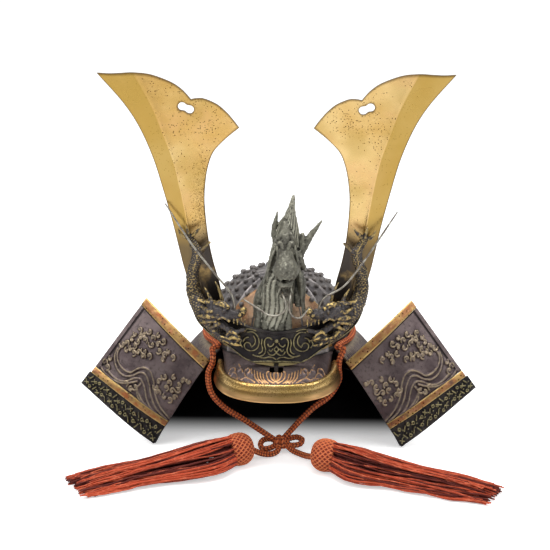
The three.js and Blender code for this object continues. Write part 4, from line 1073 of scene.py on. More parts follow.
def add_cords():
    loop_rows = np.concatenate([CORD_RIGHT, groove_places(), CORD_LEFT])
    loop, loop_path = braided_cord("braided_loop", loop_rows)
    finish_piece(loop, FINISHES["cord"], ["cord_loop"], sharp=60)
    bow = finish_piece(knot_bow(), FINISHES["cord"], ["cord_knot"], sharp=60)
    for side, label, rows in ((-1, "left", TAIL_LEFT), (1, "right", TAIL_RIGHT)):
        tail, path = braided_cord("braided_tail_" + label, rows)
        finish_piece(tail, FINISHES["cord"], ["cord_tail_" + label], sharp=60)
        tassel(side, label)


add_cords()


# Bowl

def add_bowl():
    columns = RIB_COUNT * 16
    turns = np.arange(columns) * 2 * math.pi / columns
    rises = np.linspace(0, BOWL_TOP_RISE, BOWL_ROWS)[:, None]
    from_rib = (turns * RIB_COUNT / (2 * math.pi) + 0.5) % 1 - 0.5
    reach = from_rib * 2 * math.pi * BOWL_HALF_WIDTH / RIB_COUNT
    rib = np.exp(-(reach / RIB_WIDTH * 2) ** 2) * np.minimum(1, 1.2 - rises)
    outer = bowl_point(turns, rises, RIB_HEIGHT * rib)
    inner = bowl_point(turns, np.linspace(BOWL_TOP_RISE, 0, BOWL_INSIDE_ROWS)[:, None], -BOWL_WALL)
    rings = np.concatenate([outer, inner])
    points, faces = rings.reshape(-1, 3), grid_faces(len(rings), columns, wrap=True)
    last = (len(rings) - 1) * columns
    faces += [[i, last + i, last + (i + 1) % columns, (i + 1) % columns] for i in range(columns)]
    shell = new_object("ribbed_bowl", points, faces)
    proud = proudness(shell.data, 8, 0.0008)
    # The inside is given a proud share of 0, so its finish paints it dark as shade.
    proud[outer[..., 0].size:] = 0
    set_mark(shell.data, "proud", proud)
    finish_piece(shell, FINISHES["bowl"], ["bowl"])

    studs = []
    for i in range(STUD_COLUMNS):
        turn = (i + 0.5) / STUD_COLUMNS * 2 * math.pi
        if min(turn, 2 * math.pi - turn) < math.radians(STUD_OPEN_TURN):
            continue
        for rise in np.array(STUD_RISES) + (i % 2) * (STUD_RISES[1] - STUD_RISES[0]) / 2:
            if rise < STUD_TOP_RISE:
                studs.append(ball_mesh(bowl_point(turn, rise, 0.0009), STUD_RADIUS * lerp(1, 0.72, rise), 10))
    thing = new_object("bowl_studs", *merged(studs))
    set_mark(thing.data, "proud", proudness(thing.data, 3, 0.0012))
    finish_piece(thing, FINISHES["bowl"])

    for side, label in SIDES:
        u = np.linspace(0, 1, FRONT_PANEL_COLUMNS)[None]
        v = np.linspace(0, 1, FRONT_PANEL_ROWS)[:, None]
        outer_turn = lerp(PANEL_OUTER_TURN, PANEL_INNER_TURN + PANEL_TOP_TURN, v ** 3)
        turn = side * np.radians(lerp(PANEL_INNER_TURN, outer_turn, u))
        rise = lerp(PANEL_LOW_RISE, PANEL_HIGH_RISE, v) + 0 * u
        edge = np.minimum(np.minimum(u, 1 - u) * lerp(1, 0.35, v), np.minimum(v, 1 - v))
        border = np.exp(-((edge - 0.03) / 0.03) ** 2)
        front = bowl_point(turn, rise, PANEL_HEIGHT * lerp(0.7, 1.2, border))
        back = bowl_point(turn, rise, np.full_like(turn, -BOWL_WALL / 2))
        panel = new_object("front_panel_" + label, *plate_mesh(front, back))
        set_mark(panel.data, "proud", proudness(panel.data, 5, 0.0004))
        finish_piece(panel, FINISHES["panel"])


add_bowl()


# Brow peak

def peak_ridge(share):
    turn = share * math.pi / 2
    depth = np.abs(np.cos(turn)) ** (2 / PEAK_CURVE)
    return np.stack([
        PEAK_HALF_WIDTH * signed_power(np.sin(turn), 2 / PEAK_CURVE),
        -PEAK_SIDE_FRONT - PEAK_REACH * depth,
        PEAK_FRONT_HEIGHT + PEAK_SIDE_LIFT * (1 - depth) ** 2,
    ], axis=-1)


def rim_point(share, out, up):
    step = 0.01
    along = peak_ridge(np.minimum(1, share + step)) - peak_ridge(np.maximum(-1, share - step))
    outward = unit(np.stack([along[..., 1], -along[..., 0], np.zeros_like(share)], axis=-1))
    return peak_ridge(share) + outward * out + np.array([0, 0, 1.0]) * up


def peak_point(share, v, lift):
    """Place on the peak: share goes from the left to the right, v from the bowl to the rim."""
    share, v = np.broadcast_arrays(share, v)
    root = bowl_point(share * math.radians(PEAK_ROOT_TURN), np.zeros_like(share), SEAT_GAP + RIB_HEIGHT)
    root[..., 2] = BOWL_RIM_HEIGHT + PEAK_ROOT_LIFT
    edge = rim_point(share, -RIM_INSET - SEAT_GAP, 0)
    place = lerp(root, edge, v[..., None])
    place[..., 2] += lift + PEAK_CROWN * np.sin(v * math.pi)
    return place


# Scrolls on the right half of the peak, across and back from the bowl's axis in millimetres.
PEAK_LINES = [
    [(0, -89.5), (1.6, -85.7), (1.4, -82), (0, -79.8)],
    [(0.6, -90.1), (3.4, -86.7), (4.6, -82.4), (3.6, -79.3), (2.2, -80.5)],
    [(1.6, -91), (5.6, -88.3), (7.4, -83.7), (7, -80), (5.4, -79.9)],
    [(6, -91.1), (9.4, -87.6), (10.6, -82.1)], [(8.4, -90.9), (11.8, -86.8), (13, -80.4)],
    [(10.8, -90.5), (14.2, -86.1), (15.4, -78.9)], [(13.4, -90.1), (16.8, -84.9), (17.8, -77.4)],
    [(16.8, -89.3), (20.4, -85.9), (23.4, -83.5), (25.6, -79.4), (24.8, -74.8), (22.4, -73.9),
     (21.6, -77.1), (23, -79)],
    [(21.4, -87.6), (25, -88.2), (27.8, -86.3)], [(24.6, -82.8), (28, -83.6), (30.2, -80.9)],
    [(26.4, -86.5), (30.2, -84.4), (33.2, -80.1), (36.4, -79), (38.6, -83), (37.6, -85.7), (35.6, -83.5)],
    [(31, -82.8), (32.4, -76.9), (35.2, -73.7), (38.2, -76.2), (38, -79.4)],
    [(33.4, -75.2), (34, -69.9), (37, -68.5), (39.6, -72.9), (38.4, -74.8)],
    [(38.8, -77.8), (41.2, -75.2), (41.8, -69.9)], [(19.6, -80.2), (20.2, -75)],
    [(27, -77.3), (28.6, -73.2), (31, -73.5)], [(29.6, -70.5), (30.8, -67.2)], [(30, -87.7), (32.6, -86)],
]


def add_peak():
    share = np.linspace(-1, 1, PEAK_COLUMNS)[None]
    v = np.linspace(0, 1, PEAK_ROWS)[:, None]
    flat = peak_point(share, v, 0)
    lines = mirrored([even_path(np.array(rows) * MM, SCROLL_STEP) for rows in PEAK_LINES])
    height = raised(flat[..., :2].reshape(-1, 2), lines, PEAK_SCROLL_HALF_WIDTH).reshape(flat.shape[:2])
    front = peak_point(share, v, PEAK_SCROLL_HEIGHT * height)
    back = peak_point(share, v, -PEAK_WALL)
    thing = new_object("scrolled_peak", *plate_mesh(front, back))
    slot_back = float(peak_point(0.0, SLOT_START, 0)[1])
    slot_front = slot_back - LUG_REACH - 2 * SEAT_GAP
    corners = [(x, y, z) for z in (0.05, 0.09) for x, y in (
        (-SLOT_HALF_WIDTH, slot_back), (SLOT_HALF_WIDTH, slot_back),
        (SLOT_HALF_WIDTH, slot_front), (-SLOT_HALF_WIDTH, slot_front),
    )]
    sides = [[i, (i + 1) % 4, 4 + (i + 1) % 4, 4 + i] for i in range(4)]
    cut_out(thing, new_object("slot", corners, [[0, 1, 2, 3], [4, 5, 6, 7], *sides]))
    places = mesh_arrays(thing.data)[0] - from_axis((0, 0, 0))
    inward = np.clip(1.25 - np.abs(places[:, 0]) / 0.03, 0.5, 1)
    proud = 0.42 + 0.6 * inward * raised(places[:, :2], lines, PEAK_SCROLL_HALF_WIDTH) ** 2
    set_mark(thing.data, "proud", proud)
    finish_piece(thing, FINISHES["scrolls"], ["peak"], sharp=50)

    section = [
        (-0.64, -0.17), (-0.64, 0.02), (-0.34, 0.2), (0.06, 0.25), (0.34, 0.12), (0.5, -0.13), (0.58, -0.34),
        (0.74, -0.62), (1.0, -0.94), (1.0, -1.0), (0.7, -1.0), (0.34, -0.62), (0.1, -0.26), (-0.3, -0.2),
    ]
    fine = spline(section + section[:1], np.linspace(0, len(section), 41)[:-1])
    shares = np.linspace(-1, 1, RIM_SECTIONS)
    rings = np.stack([rim_point(shares, out * RIM_FLARE, up * RIM_DROP) for out, up in fine], axis=1)
    rim = new_object("rolled_rim", *tube_mesh(rings))
    # Painted shade on the band between the roll and the lower lip.
    low = np.clip((-fine[:, 1] - 0.22) * 8, 0, 1) * np.clip((0.6 + fine[:, 1]) * 8, 0, 1)
    low = np.tile(low, len(shares))
    set_mark(rim.data, "edge", low * 0.7)
    # The lower lip is marked for a painted highlight.
    set_mark(rim.data, "painted_highlight_lip", np.tile(np.clip((-fine[:, 1] - 0.5) * 6, 0, 1), len(shares)))
    set_mark(rim.data, "pitted", np.full(len(low), 0.5))
    set_mark(rim.data, "foot", np.zeros(len(low)))
    set_mark(rim.data, "rash", np.tile(np.exp(-((fine[:, 0] - 0.3) / 0.34) ** 2), len(shares)))
    finish_piece(rim, FINISHES["gilt"], ["peak_rim"])


add_peak()


# Crest plate

CREST_EDGES = [
    (0, 0, 1), (0.3, 0.1, 1.12), (0.56, 0.47, 1.35), (0.8, 0.75, 1.5), (0.93, 1.02, 1.6), (1, 1.36, 1.62),
]
# Scrolls on the right half of the crest, across and up from its middle in millimetres.
CREST_LINES = [
    [(23.5, 14), (19.5, 14.6), (15.8, 12), (14, 7.4), (14.6, 2.6), (17.4, -0.8), (21.4, -1.8), (25, -0.4),
     (26, 2.6), (24.4, 5), (21.6, 4.6), (20.6, 2.6)],
    [(18.6, 11.6), (17, 8), (17.6, 4.2), (20, 1.6)],
    [(3.8, 8.8), (5.4, 10.2), (8, 9.8), (9.6, 7.2), (9.4, 3.4), (8.6, 0), (9.6, -3.6), (12.4, -5.8),
     (16, -6.2), (19, -5.2)],
    [(11.6, 8.6), (12, 4.6), (11.2, 1), (11.8, -2), (14.2, -3.8)],
    [(0, -8.6), (3, -6.6), (6.4, -6.4), (10, -7.4), (13.5, -7)],
    [(0, 2.8), (1.8, 0.4), (0, -2.2)],
    [(0, -2.6), (2.6, -4.6), (5.4, -4.2), (7.2, -1.6)], [(2, 5.6), (3.4, 3.4), (5.6, 2.6), (7, 4.4)],
    [(3, 0.6), (4.6, -1.4), (5.8, 0)],
    [(16.4, 15.6), (20, 16.8), (24.8, 16.2), (25.6, 13.8)], [(27.6, 0.6), (29.4, 3.6), (28.4, 6.4)],
    [(22.8, 9.6), (25.6, 8.4), (26.8, 5.6)],
]


def crest_front(across):
    return -CREST_FRONT + CREST_SWEEP * (across / CREST_HALF_WIDTH) ** 2


def crest_point(across, v, out):
    share = np.clip(np.abs(across) / CREST_HALF_WIDTH, 0, 1)
    low = CREST_BOTTOM + CREST_HEIGHT * smooth_lookup(share, CREST_EDGES, 1)
    high = CREST_BOTTOM + CREST_HEIGHT * smooth_lookup(share, CREST_EDGES, 2)
    return np.stack(np.broadcast_arrays(across, crest_front(across) - out, lerp(low, high, v)), axis=-1)


def add_crest():
    across = np.linspace(-CREST_HALF_WIDTH, CREST_HALF_WIDTH, CREST_COLUMNS)[None]
    v = np.linspace(0, 1, CREST_ROWS)[:, None]
    flat = crest_point(across, v, 0)
    local = flat[..., [0, 2]].reshape(-1, 2) - [0, CREST_BOTTOM + CREST_HEIGHT / 2]
    lines = mirrored([even_path(np.array(rows) * MM, SCROLL_STEP) for rows in CREST_LINES])
    scroll = raised(local, lines, CREST_SCROLL_HALF_WIDTH).reshape(flat.shape[:2])
    bead = raised(local, [np.array([(0, 7.2), (0.01, 7.2)]) * MM], 0.002).reshape(flat.shape[:2])
    tall = np.abs(flat[-1:, :, 2] - flat[:1, :, 2])
    from_top, from_low = (1 - v) * tall, v * tall
    top_roll = np.sqrt(np.clip(1 - ((from_top - 0.0013) / 0.0016) ** 2, 0, 1))
    lip = 0.0009 + CREST_FLANGE * np.clip(1 - (across / CREST_FLANGE_REACH) ** 2, 0, 1)
    low_roll = np.sqrt(np.clip(1 - ((from_low - lip) / 0.0009) ** 2, 0, 1))
    flange = np.clip((lip - 0.0008 - from_low) / 0.0004, 0, 1)
    out = np.maximum.reduce([
        CREST_SCROLL_HEIGHT * scroll, 0.0016 * bead, 0.0013 * top_roll, 0.0011 * low_roll,
    ])
    front = crest_point(across, v, out)
    back = crest_point(across, v, -CREST_WALL)
    thing = new_object("scrolled_crest", *plate_mesh(front, back))
    proud = 0.4 + 0.6 * np.maximum.reduce([scroll ** 3, bead, 0.25 * top_roll, 0.85 * low_roll, flange])
    set_mark(thing.data, "proud", proud.ravel(), rest=0.4)
    finish_piece(thing, FINISHES["dark"], ["crest_plate"], sharp=55)

    lug_back = float(peak_point(0.0, SLOT_START, 0)[1]) - SEAT_GAP
    corners = ((-1, 0), (1, 0), (1, -1), (-1, -1))
    top = CREST_BOTTOM + 0.003
    rings = np.array([[(x * LUG_WIDTH / 2 * wide, lug_back + y * LUG_REACH, z) for x, y in corners]
                      for z, wide in ((top - LUG_DROP, 0.9), (top - 0.004, 1.0), (top, 1.15))])
    lug = new_object("crest_lug", *tube_mesh(rings))
    set_mark(lug.data, "proud", np.full(len(lug.data.vertices), 0.45))
    finish_piece(lug, FINISHES["dark"])


add_crest()


# Horns

# Edges of a horn from its foot to its tips: outer across, outer up, inner across, inner up and crease.
HORN_SECTIONS = [
    (0.42, 0, 0.345, 0, 0.4), (0.495, 0.075, 0.325, 0.07, 0.4), (0.521, 0.178, 0.338, 0.177, 0.4),
    (0.554, 0.268, 0.378, 0.285, 0.41), (0.577, 0.341, 0.402, 0.376, 0.42), (0.61, 0.445, 0.418, 0.51, 0.42),
    (0.657, 0.57, 0.409, 0.598, 0.4), (0.704, 0.683, 0.39, 0.66, 0.37), (0.773, 0.797, 0.357, 0.712, 0.33),
    (0.853, 0.885, 0.293, 0.757, 0.29), (1, 1, 0.211, 0.801, 0.26),
]
# Swell of the top edge: the outer lobe as far as the notch, then the inner one.
HORN_OUTER_LOBE = [
    (0, 0), (0.08, 0.2), (0.16, 0.45), (0.28, 0.82), (0.4, 1), (0.52, 0.99), (0.6, 0.82), (0.66, 0.5),
]
HORN_INNER_LOBE = [(0.66, 0.5), (0.7, 0.66), (0.76, 0.79), (0.83, 0.77), (0.9, 0.58), (0.96, 0.27), (1, 0)]


def horn_front(height):
    return -HORN_FOOT_FRONT - (height - HORN_FOOT_HEIGHT) * math.tan(math.radians(HORN_LEAN))


def horn_point(side, column, row, out):
    """Place on a horn: column goes from its outer edge over its crease at 0.5 to its inner edge."""
    last = len(HORN_SECTIONS) - 1
    outer, outer_up, inner, inner_up, crease = spline(HORN_SECTIONS, np.ravel(row)).T[:, :, None]
    u = np.where(column < 0.5, 2 * column * crease, crease + (2 * column - 1) * (1 - crease))
    slope = np.clip((0.5 - np.abs(column - 0.5)) / 0.48, 0, 1)
    tent = np.where(column < 0.5, slope ** 1.1, 0.55 * slope ** 1.6 + 0.45 * slope ** 6)
    across = HORN_SPAN * lerp(outer, inner, u)
    notch = HORN_INNER_LOBE[0][0]
    top = np.where(u < notch, smooth_lookup(u, HORN_OUTER_LOBE, 1), smooth_lookup(u, HORN_INNER_LOBE, 1))
    grow = np.clip((np.reshape(row, (-1, 1)) - last + 2) / 2, 0, 1)
    height = HORN_BOTTOM + HORN_TALL * lerp(outer_up, inner_up, u) + HORN_TOP_SWELL * top * grow ** 1.5
    return np.stack([side * across, horn_front(height) - out - HORN_CREASE * tent, height], axis=-1)


def heart_eye_outline(side):
    shape = [(-0.5, 0), (-0.42, 0.36), (-0.24, 0.5), (0.02, 0.4), (0.26, 0.5), (0.43, 0.36), (0.5, 0)]
    shape += [(x, -y) for x, y in shape[-2:0:-1]]
    fine = spline(shape + shape[:1], np.linspace(0, len(shape), 49)[:-1])
    tilt = side * math.radians(HEART_EYE_TILT)
    right, up = (fine * [side * HEART_EYE_LONG, HEART_EYE_WIDE]).T
    last = len(HORN_SECTIONS) - 1
    crease = spline(HORN_SECTIONS, np.array([last - HEART_EYE_BELOW_TOP]))[0][4]
    column = 0.5 + (HEART_EYE_ACROSS - crease) / (1 - crease) / 2
    middle = horn_point(side, np.array([[column]]), np.array([last - HEART_EYE_BELOW_TOP]), 0)[0][0]
    turned = np.stack([
        right * math.cos(tilt) - up * math.sin(tilt), right * math.sin(tilt) + up * math.cos(tilt),
    ], axis=1)
    return turned + middle[[0, 2]]


def add_horn(side, label):
    columns = np.r_[np.linspace(0, 0.485, 40), 0.4925, 0.5, 0.5075, np.linspace(0.515, 1, 56)][None]
    rows = np.linspace(0, len(HORN_SECTIONS) - 1, HORN_ROWS)
    bevel = np.clip(1 - np.minimum(columns, 1 - columns) / 0.02, 0, 1) ** 2 * 0.0006
    front = horn_point(side, columns, rows, -bevel)
    back = horn_point(side, columns, rows, -HORN_WALL)
    thing = new_object("gilt_horn_" + label, *plate_mesh(front, back, FINE_BACK_STEP))
    outline = heart_eye_outline(side)
    eye = np.array([[(x, y, z) for x, z in outline] for y in (-0.12, -0.02)])
    cut_out(thing, new_object("eye", *tube_mesh(eye)))

    places = mesh_arrays(thing.data)[0] - from_axis((0, 0, 0))
    # The outer facet is marked for painted shade, darker than the inner facet.
    crease = horn_point(side, np.array([[0.5]]), rows, 0)[:, 0]
    past_crease = np.abs(places[:, 0]) - np.interp(places[:, 2], crease[:, 2], np.abs(crease[:, 0]))
    set_mark(thing.data, "painted_shade_outer_facet", 0.75 * np.clip(past_crease / 0.0006 + 0.5, 0, 1))
    flat = places[:, [0, 2]]
    rim = front[..., [0, 2]]
    edges = [rim[:, 0], rim[:, -1], rim[-1], np.vstack([outline, outline[:1]])]
    gap = np.minimum.reduce([line_distance(flat, line) for line in edges])
    height = (places[:, 2] - HORN_BOTTOM) / HORN_TALL
    across = np.abs(places[:, 0]) / HORN_SPAN
    inner = np.clip(1 - (across - 0.42) / 0.1, 0, 1)
    rash = np.exp(-((height - 0.53) / 0.14) ** 2) * inner * (1 if side < 0 else 0.15)
    top = np.clip((height - 0.68) / 0.2, 0, 1) * np.exp(-((across - 0.45) / 0.22) ** 2)
    # Painted shade along the horn's edges and round its eye hole.
    set_mark(thing.data, "edge", 0.8 * np.clip(1.6 - gap / 0.0006, 0, 1))
    set_mark(thing.data, "pitted", np.clip(0.16 + 0.9 * rash + 0.6 * top, 0, 1))
    set_mark(thing.data, "rash", rash)
    set_mark(thing.data, "foot", np.clip((0.46 - height) / 0.12, 0, 1) * (0.75 + 0.25 * inner))
    finish_piece(thing, FINISHES["gilt"], ["horn_" + label], sharp=14)


for side_sign, side_name in SIDES:
    add_horn(side_sign, side_name)


# Dragons

# Stations of a side dragon's limbs: across, up, out from its seat and thickness, as shares of its size.
SIDE_DRAGON_LIMBS = {
    "body": [
        (0.805, 0.89, 0.14, 0.26), (0.7, 0.76, 0.16, 0.42), (0.765, 0.583, 0.14, 0.48),
        (0.765, 0.406, 0.16, 0.58), (0.66, 0.27, 0.2, 0.66), (0.517, 0.16, 0.18, 0.56),
        (0.383, 0.075, 0.16, 0.46), (0.24, 0.06, 0.16, 0.36),
    ],
    "skull": [
        (0.6, 0.26, 0.24, 0.6), (0.4, 0.3, 0.3, 0.66), (0.18, 0.29, 0.34, 0.42), (0.06, 0.32, 0.36, 0.32),
    ],
    "jaw": [(0.42, 0.2, 0.28, 0.4), (0.22, 0.14, 0.34, 0.26), (0.04, 0.17, 0.38, 0.16)],
    "brow": [(0.48, 0.35, 0.38, 0.18), (0.37, 0.372, 0.5, 0.28), (0.26, 0.345, 0.52, 0.18)],
    "antler": [(0.45, 0.36, 0.3, 0.24), (0.64, 0.352, 0.36, 0.2), (0.84, 0.385, 0.3, 0.07)],
    "second_antler": [(0.5, 0.34, 0.2, 0.18), (0.55, 0.41, 0.22, 0.14), (0.61, 0.465, 0.22, 0.05)],
    "third_antler": [(0.36, 0.38, 0.2, 0.16), (0.4, 0.46, 0.2, 0.12), (0.46, 0.53, 0.16, 0.05)],
    "upper_tuft": [(0.42, 0.3, 0.5, 0.22), (0.55, 0.3, 0.6, 0.24), (0.66, 0.318, 0.54, 0.07)],
    "middle_tuft": [(0.42, 0.26, 0.5, 0.22), (0.56, 0.25, 0.64, 0.24), (0.7, 0.235, 0.58, 0.07)],
    "lower_tuft": [(0.44, 0.22, 0.46, 0.2), (0.56, 0.205, 0.58, 0.2), (0.66, 0.17, 0.5, 0.06)],
    "cheek_tuft": [(0.4, 0.2, 0.42, 0.18), (0.48, 0.165, 0.52, 0.18), (0.56, 0.13, 0.44, 0.05)],
    "mouth_line": [(0.42, 0.235, 0.5, 0.14), (0.34, 0.262, 0.56, 0.15), (0.25, 0.235, 0.56, 0.13)],
    "paw_upper": [(0.3, 0.09, 0.28, 0.2), (0.24, 0.145, 0.44, 0.17), (0.14, 0.12, 0.54, 0.05)],
    "paw_middle": [(0.3, 0.06, 0.28, 0.2), (0.2, 0.1, 0.5, 0.18), (0.08, 0.085, 0.5, 0.05)],
    "paw_lower": [(0.3, 0.045, 0.28, 0.18), (0.2, 0.04, 0.46, 0.16), (0.1, 0.035, 0.44, 0.05)],
    "claw_outer": [(0.8, 0.87, 0.14, 0.2), (0.9, 0.91, 0.2, 0.15), (0.95, 0.965, 0.16, 0.05)],
    "claw_middle": [(0.8, 0.88, 0.14, 0.2), (0.82, 0.95, 0.22, 0.15), (0.84, 0.995, 0.16, 0.05)],
    "claw_inner": [(0.79, 0.88, 0.14, 0.2), (0.7, 0.94, 0.22, 0.15), (0.64, 0.98, 0.16, 0.05)],
    "foreleg": [(0.72, 0.74, 0.2, 0.24), (0.6, 0.8, 0.24, 0.18), (0.52, 0.86, 0.22, 0.1)],
}
# How much of each limb is gilt. The rest of the dragon is dark bronze.
GILDED_LIMBS = {
    "brow": 1, "antler": 1, "second_antler": 0.6, "third_antler": 0.5, "upper_tuft": 0.8, "middle_tuft": 0.75,
    "lower_tuft": 0.8, "cheek_tuft": 0.7, "mouth_line": 0.7, "paw_upper": 0.9, "paw_middle": 0.9,
    "paw_lower": 0.9,
    "claw_outer": 0.7, "claw_middle": 0.7, "claw_inner": 0.7, "foreleg": 0.4, "spine_line": 0.9, "nose": 1,
    "pearl": 1, "bead": 1, "tooth": 0.8,
}


def side_dragon_place(side, across, up, out):
    x = SIDE_DRAGON_INNER + np.asarray(across) * SIDE_DRAGON_WIDE
    z = SIDE_DRAGON_LOW + np.asarray(up) * SIDE_DRAGON_TALL
    seat = np.minimum(crest_front(x), horn_front(z) - HORN_CREASE / 2)
    return np.stack([side * x, seat - np.asarray(out) * SIDE_DRAGON_DEEP, z], axis=-1)


def limb_line(places, radii, step=0.0007):
    """Even points along a limb, with their radii."""
    both = even_path(np.column_stack([places, np.broadcast_to(radii, len(places))]), step)
    return both[:, :3], both[:, 3]


def limb_mesh(line, round_count=18):
    path, radius = line
    return tube_mesh(tube_rings(path, radius[:, None], round_count))


def spike_lines(line, count, long, lean):
    """Short spikes along the back of a limb, that lean along it."""
    path, radius = line
    spikes = []
    for index in (np.linspace(0.06, 0.94, count) * (len(path) - 1)).astype(int):
        along = unit(path[min(index + 2, len(path) - 1)] - path[max(index - 2, 0)])
        out = unit(lean - along * (lean @ along))
        foot = path[index] + out * radius[index] * 0.7
        tip = foot + out * long + along * long * 0.5
        places = np.array([foot, lerp(foot, tip, 0.5), tip])
        spikes.append(limb_line(places, SPIKE_RADII, FINE_LIMB_STEP))
    return spikes


def scale_height(along, turn, pitch, count):
    """Height share of rows of overlapping scales, each row set half a scale from the next."""
    row = along / pitch
    column = turn * count / (2 * math.pi) + 0.5 * (np.floor(row) % 2)
    across = (column % 1 - 0.5) * 2
    down = row % 1
    return np.clip(1 - across ** 2 - down ** 2, 0, 1) ** 0.5 * (1 - 0.45 * down)


def strand_height(along, turn, pitch, count):
    """Height share of locks of mane that run along a limb and wander a little."""
    row = along / pitch
    return np.abs(np.cos(turn * count / 2 + 1.4 * np.sin(row) + np.sin(2.3 * turn + row / 2)))


def nearest_limbs(points, limbs, marked, pattern):
    """How gilt and how thick each point's nearest limb is, and the pattern's height on the marked one."""
    best = np.full(len(points), np.inf)
    gilded, scales, thick = np.zeros((3, len(points)))
    for name, line in limbs:
        path, radius = line[0][::2], line[1][::2]
        gaps = np.stack([np.linalg.norm(points - place, axis=1) for place in path]) / radius[:, None]
        at = gaps.argmin(0)
        near = gaps.min(0)
        closer = near < best
        best[closer] = near[closer]
        gilded[closer] = GILDED_LIMBS.get(name, 0)
        thick[closer] = radius[at][closer]
        scales[closer] = 0
        if name == marked:
            sides, ups = path_frames(path)
            away = points - path[at]
            turn = np.arctan2((away * ups[at]).sum(1), (away * sides[at]).sum(1))
            step = float(np.linalg.norm(path[1] - path[0]))
            along = (at + (away * unit(np.gradient(path, axis=0))[at]).sum(1) / step) * step
            scales[closer] = pattern(along, turn)[closer]
    return gilded, scales, thick


def cast_piece(name, limbs, finish, replaces, marked, pattern, rough):
    """Melts overlapping limbs into one casting, with a pattern along one of them and a rugged skin."""
    thing = new_object(name, *merged([limb_mesh(line) for _, line in limbs]))
    with_modifier(thing, "REMESH", mode="VOXEL", voxel_size=CAST_VOXEL, use_smooth_shade=True)
    mesh = thing.data
    points, normals, _ = mesh_arrays(mesh)
    gilded, scales, thick = nearest_limbs(points - from_axis((0, 0, 0)), limbs, marked, pattern)
    grain = np.array([noise.turbulence(Vector(place) * CAST_GRAIN, 3, False) for place in points])
    lift = SCALE_RISE * scales + rough * np.clip(thick / 0.003, 0.2, 1) * (grain - 0.5)
    mesh.vertices.foreach_set("co", (points + normals * lift[:, None]).ravel())
    mesh.update()
    proud = proudness(mesh, 4, 0.0009)
    set_mark(mesh, "proud", np.clip(proud + 0.35 * (scales - 0.2) * (scales > 0), 0, 1))
    set_mark(mesh, "gilded", gilded)
    return finish_piece(thing, FINISHES[finish], replaces, sharp=80)


def ball_line(place, radius):
    """A ball, as a limb so short that it is round."""
    place = np.asarray(place, float)
    turn = np.linspace(-0.98, 0.98, 9)
    path = place + radius * np.stack([0 * turn, 0 * turn, turn], axis=1)
    return path, radius * np.sqrt(1 - turn ** 2) + 1e-5


def add_side_dragon(side, label):
    limbs = []
    for name, rows in SIDE_DRAGON_LIMBS.items():
        across, up, out, thick = np.array(rows).T
        limbs.append((name, limb_line(side_dragon_place(side, across, up, out), thick * SIDE_DRAGON_THICK)))
    body = limbs[0][1]
    outward = np.array([side * 0.9, -0.6, 0.2])
    limbs += [("spike", line) for line in spike_lines(body, 26, 0.0024, outward)]
    front = np.array([0, -1.0, 0])
    spine = body[0] + front * body[1][:, None] * 0.86
    limbs.append(("spine_line", (spine[8:], np.full(len(spine) - 8, 0.0009))))
    limbs.append(("pearl", ball_line(side_dragon_place(side, 0.17, 0.083, 0.3), 0.0036)))
    limbs.append(("nose", ball_line(side_dragon_place(side, 0.07, 0.335, 0.42), 0.0034)))
    limbs.append(("bead", ball_line(side_dragon_place(side, 0.12, 0.3, 0.56), 0.0014)))
    limbs.append(("eye", ball_line(side_dragon_place(side, 0.33, 0.318, 0.62), 0.0019)))
    low = body[0][-34:]
    for index in range(0, len(low), 3):
        for lift in (-1, 1):
            place = low[index] + np.array([0.0016 * lift * side, -0.0042, 0.0018 * lift])
            limbs.append(("bead", ball_line(place, 0.0013)))
    for across in (0.05, 0.1, 0.15, 0.2):
        rows = side_dragon_place(side, [across] * 3, [0.27, 0.24, 0.205], [0.46, 0.5, 0.5])
        limbs.append(("tooth", limb_line(rows, [0.0008, 0.0007, 0.0003], FINE_LIMB_STEP)))
    cast_piece(
        "crest_dragon_" + label, limbs, "dragon", ["side_dragon_" + label], "body",
        lambda along, turn: scale_height(along, turn, SCALE_PITCH, SCALE_COUNT), SIDE_GRAIN,
    )


for side_sign, side_name in SIDES:
    add_side_dragon(side_sign, side_name)

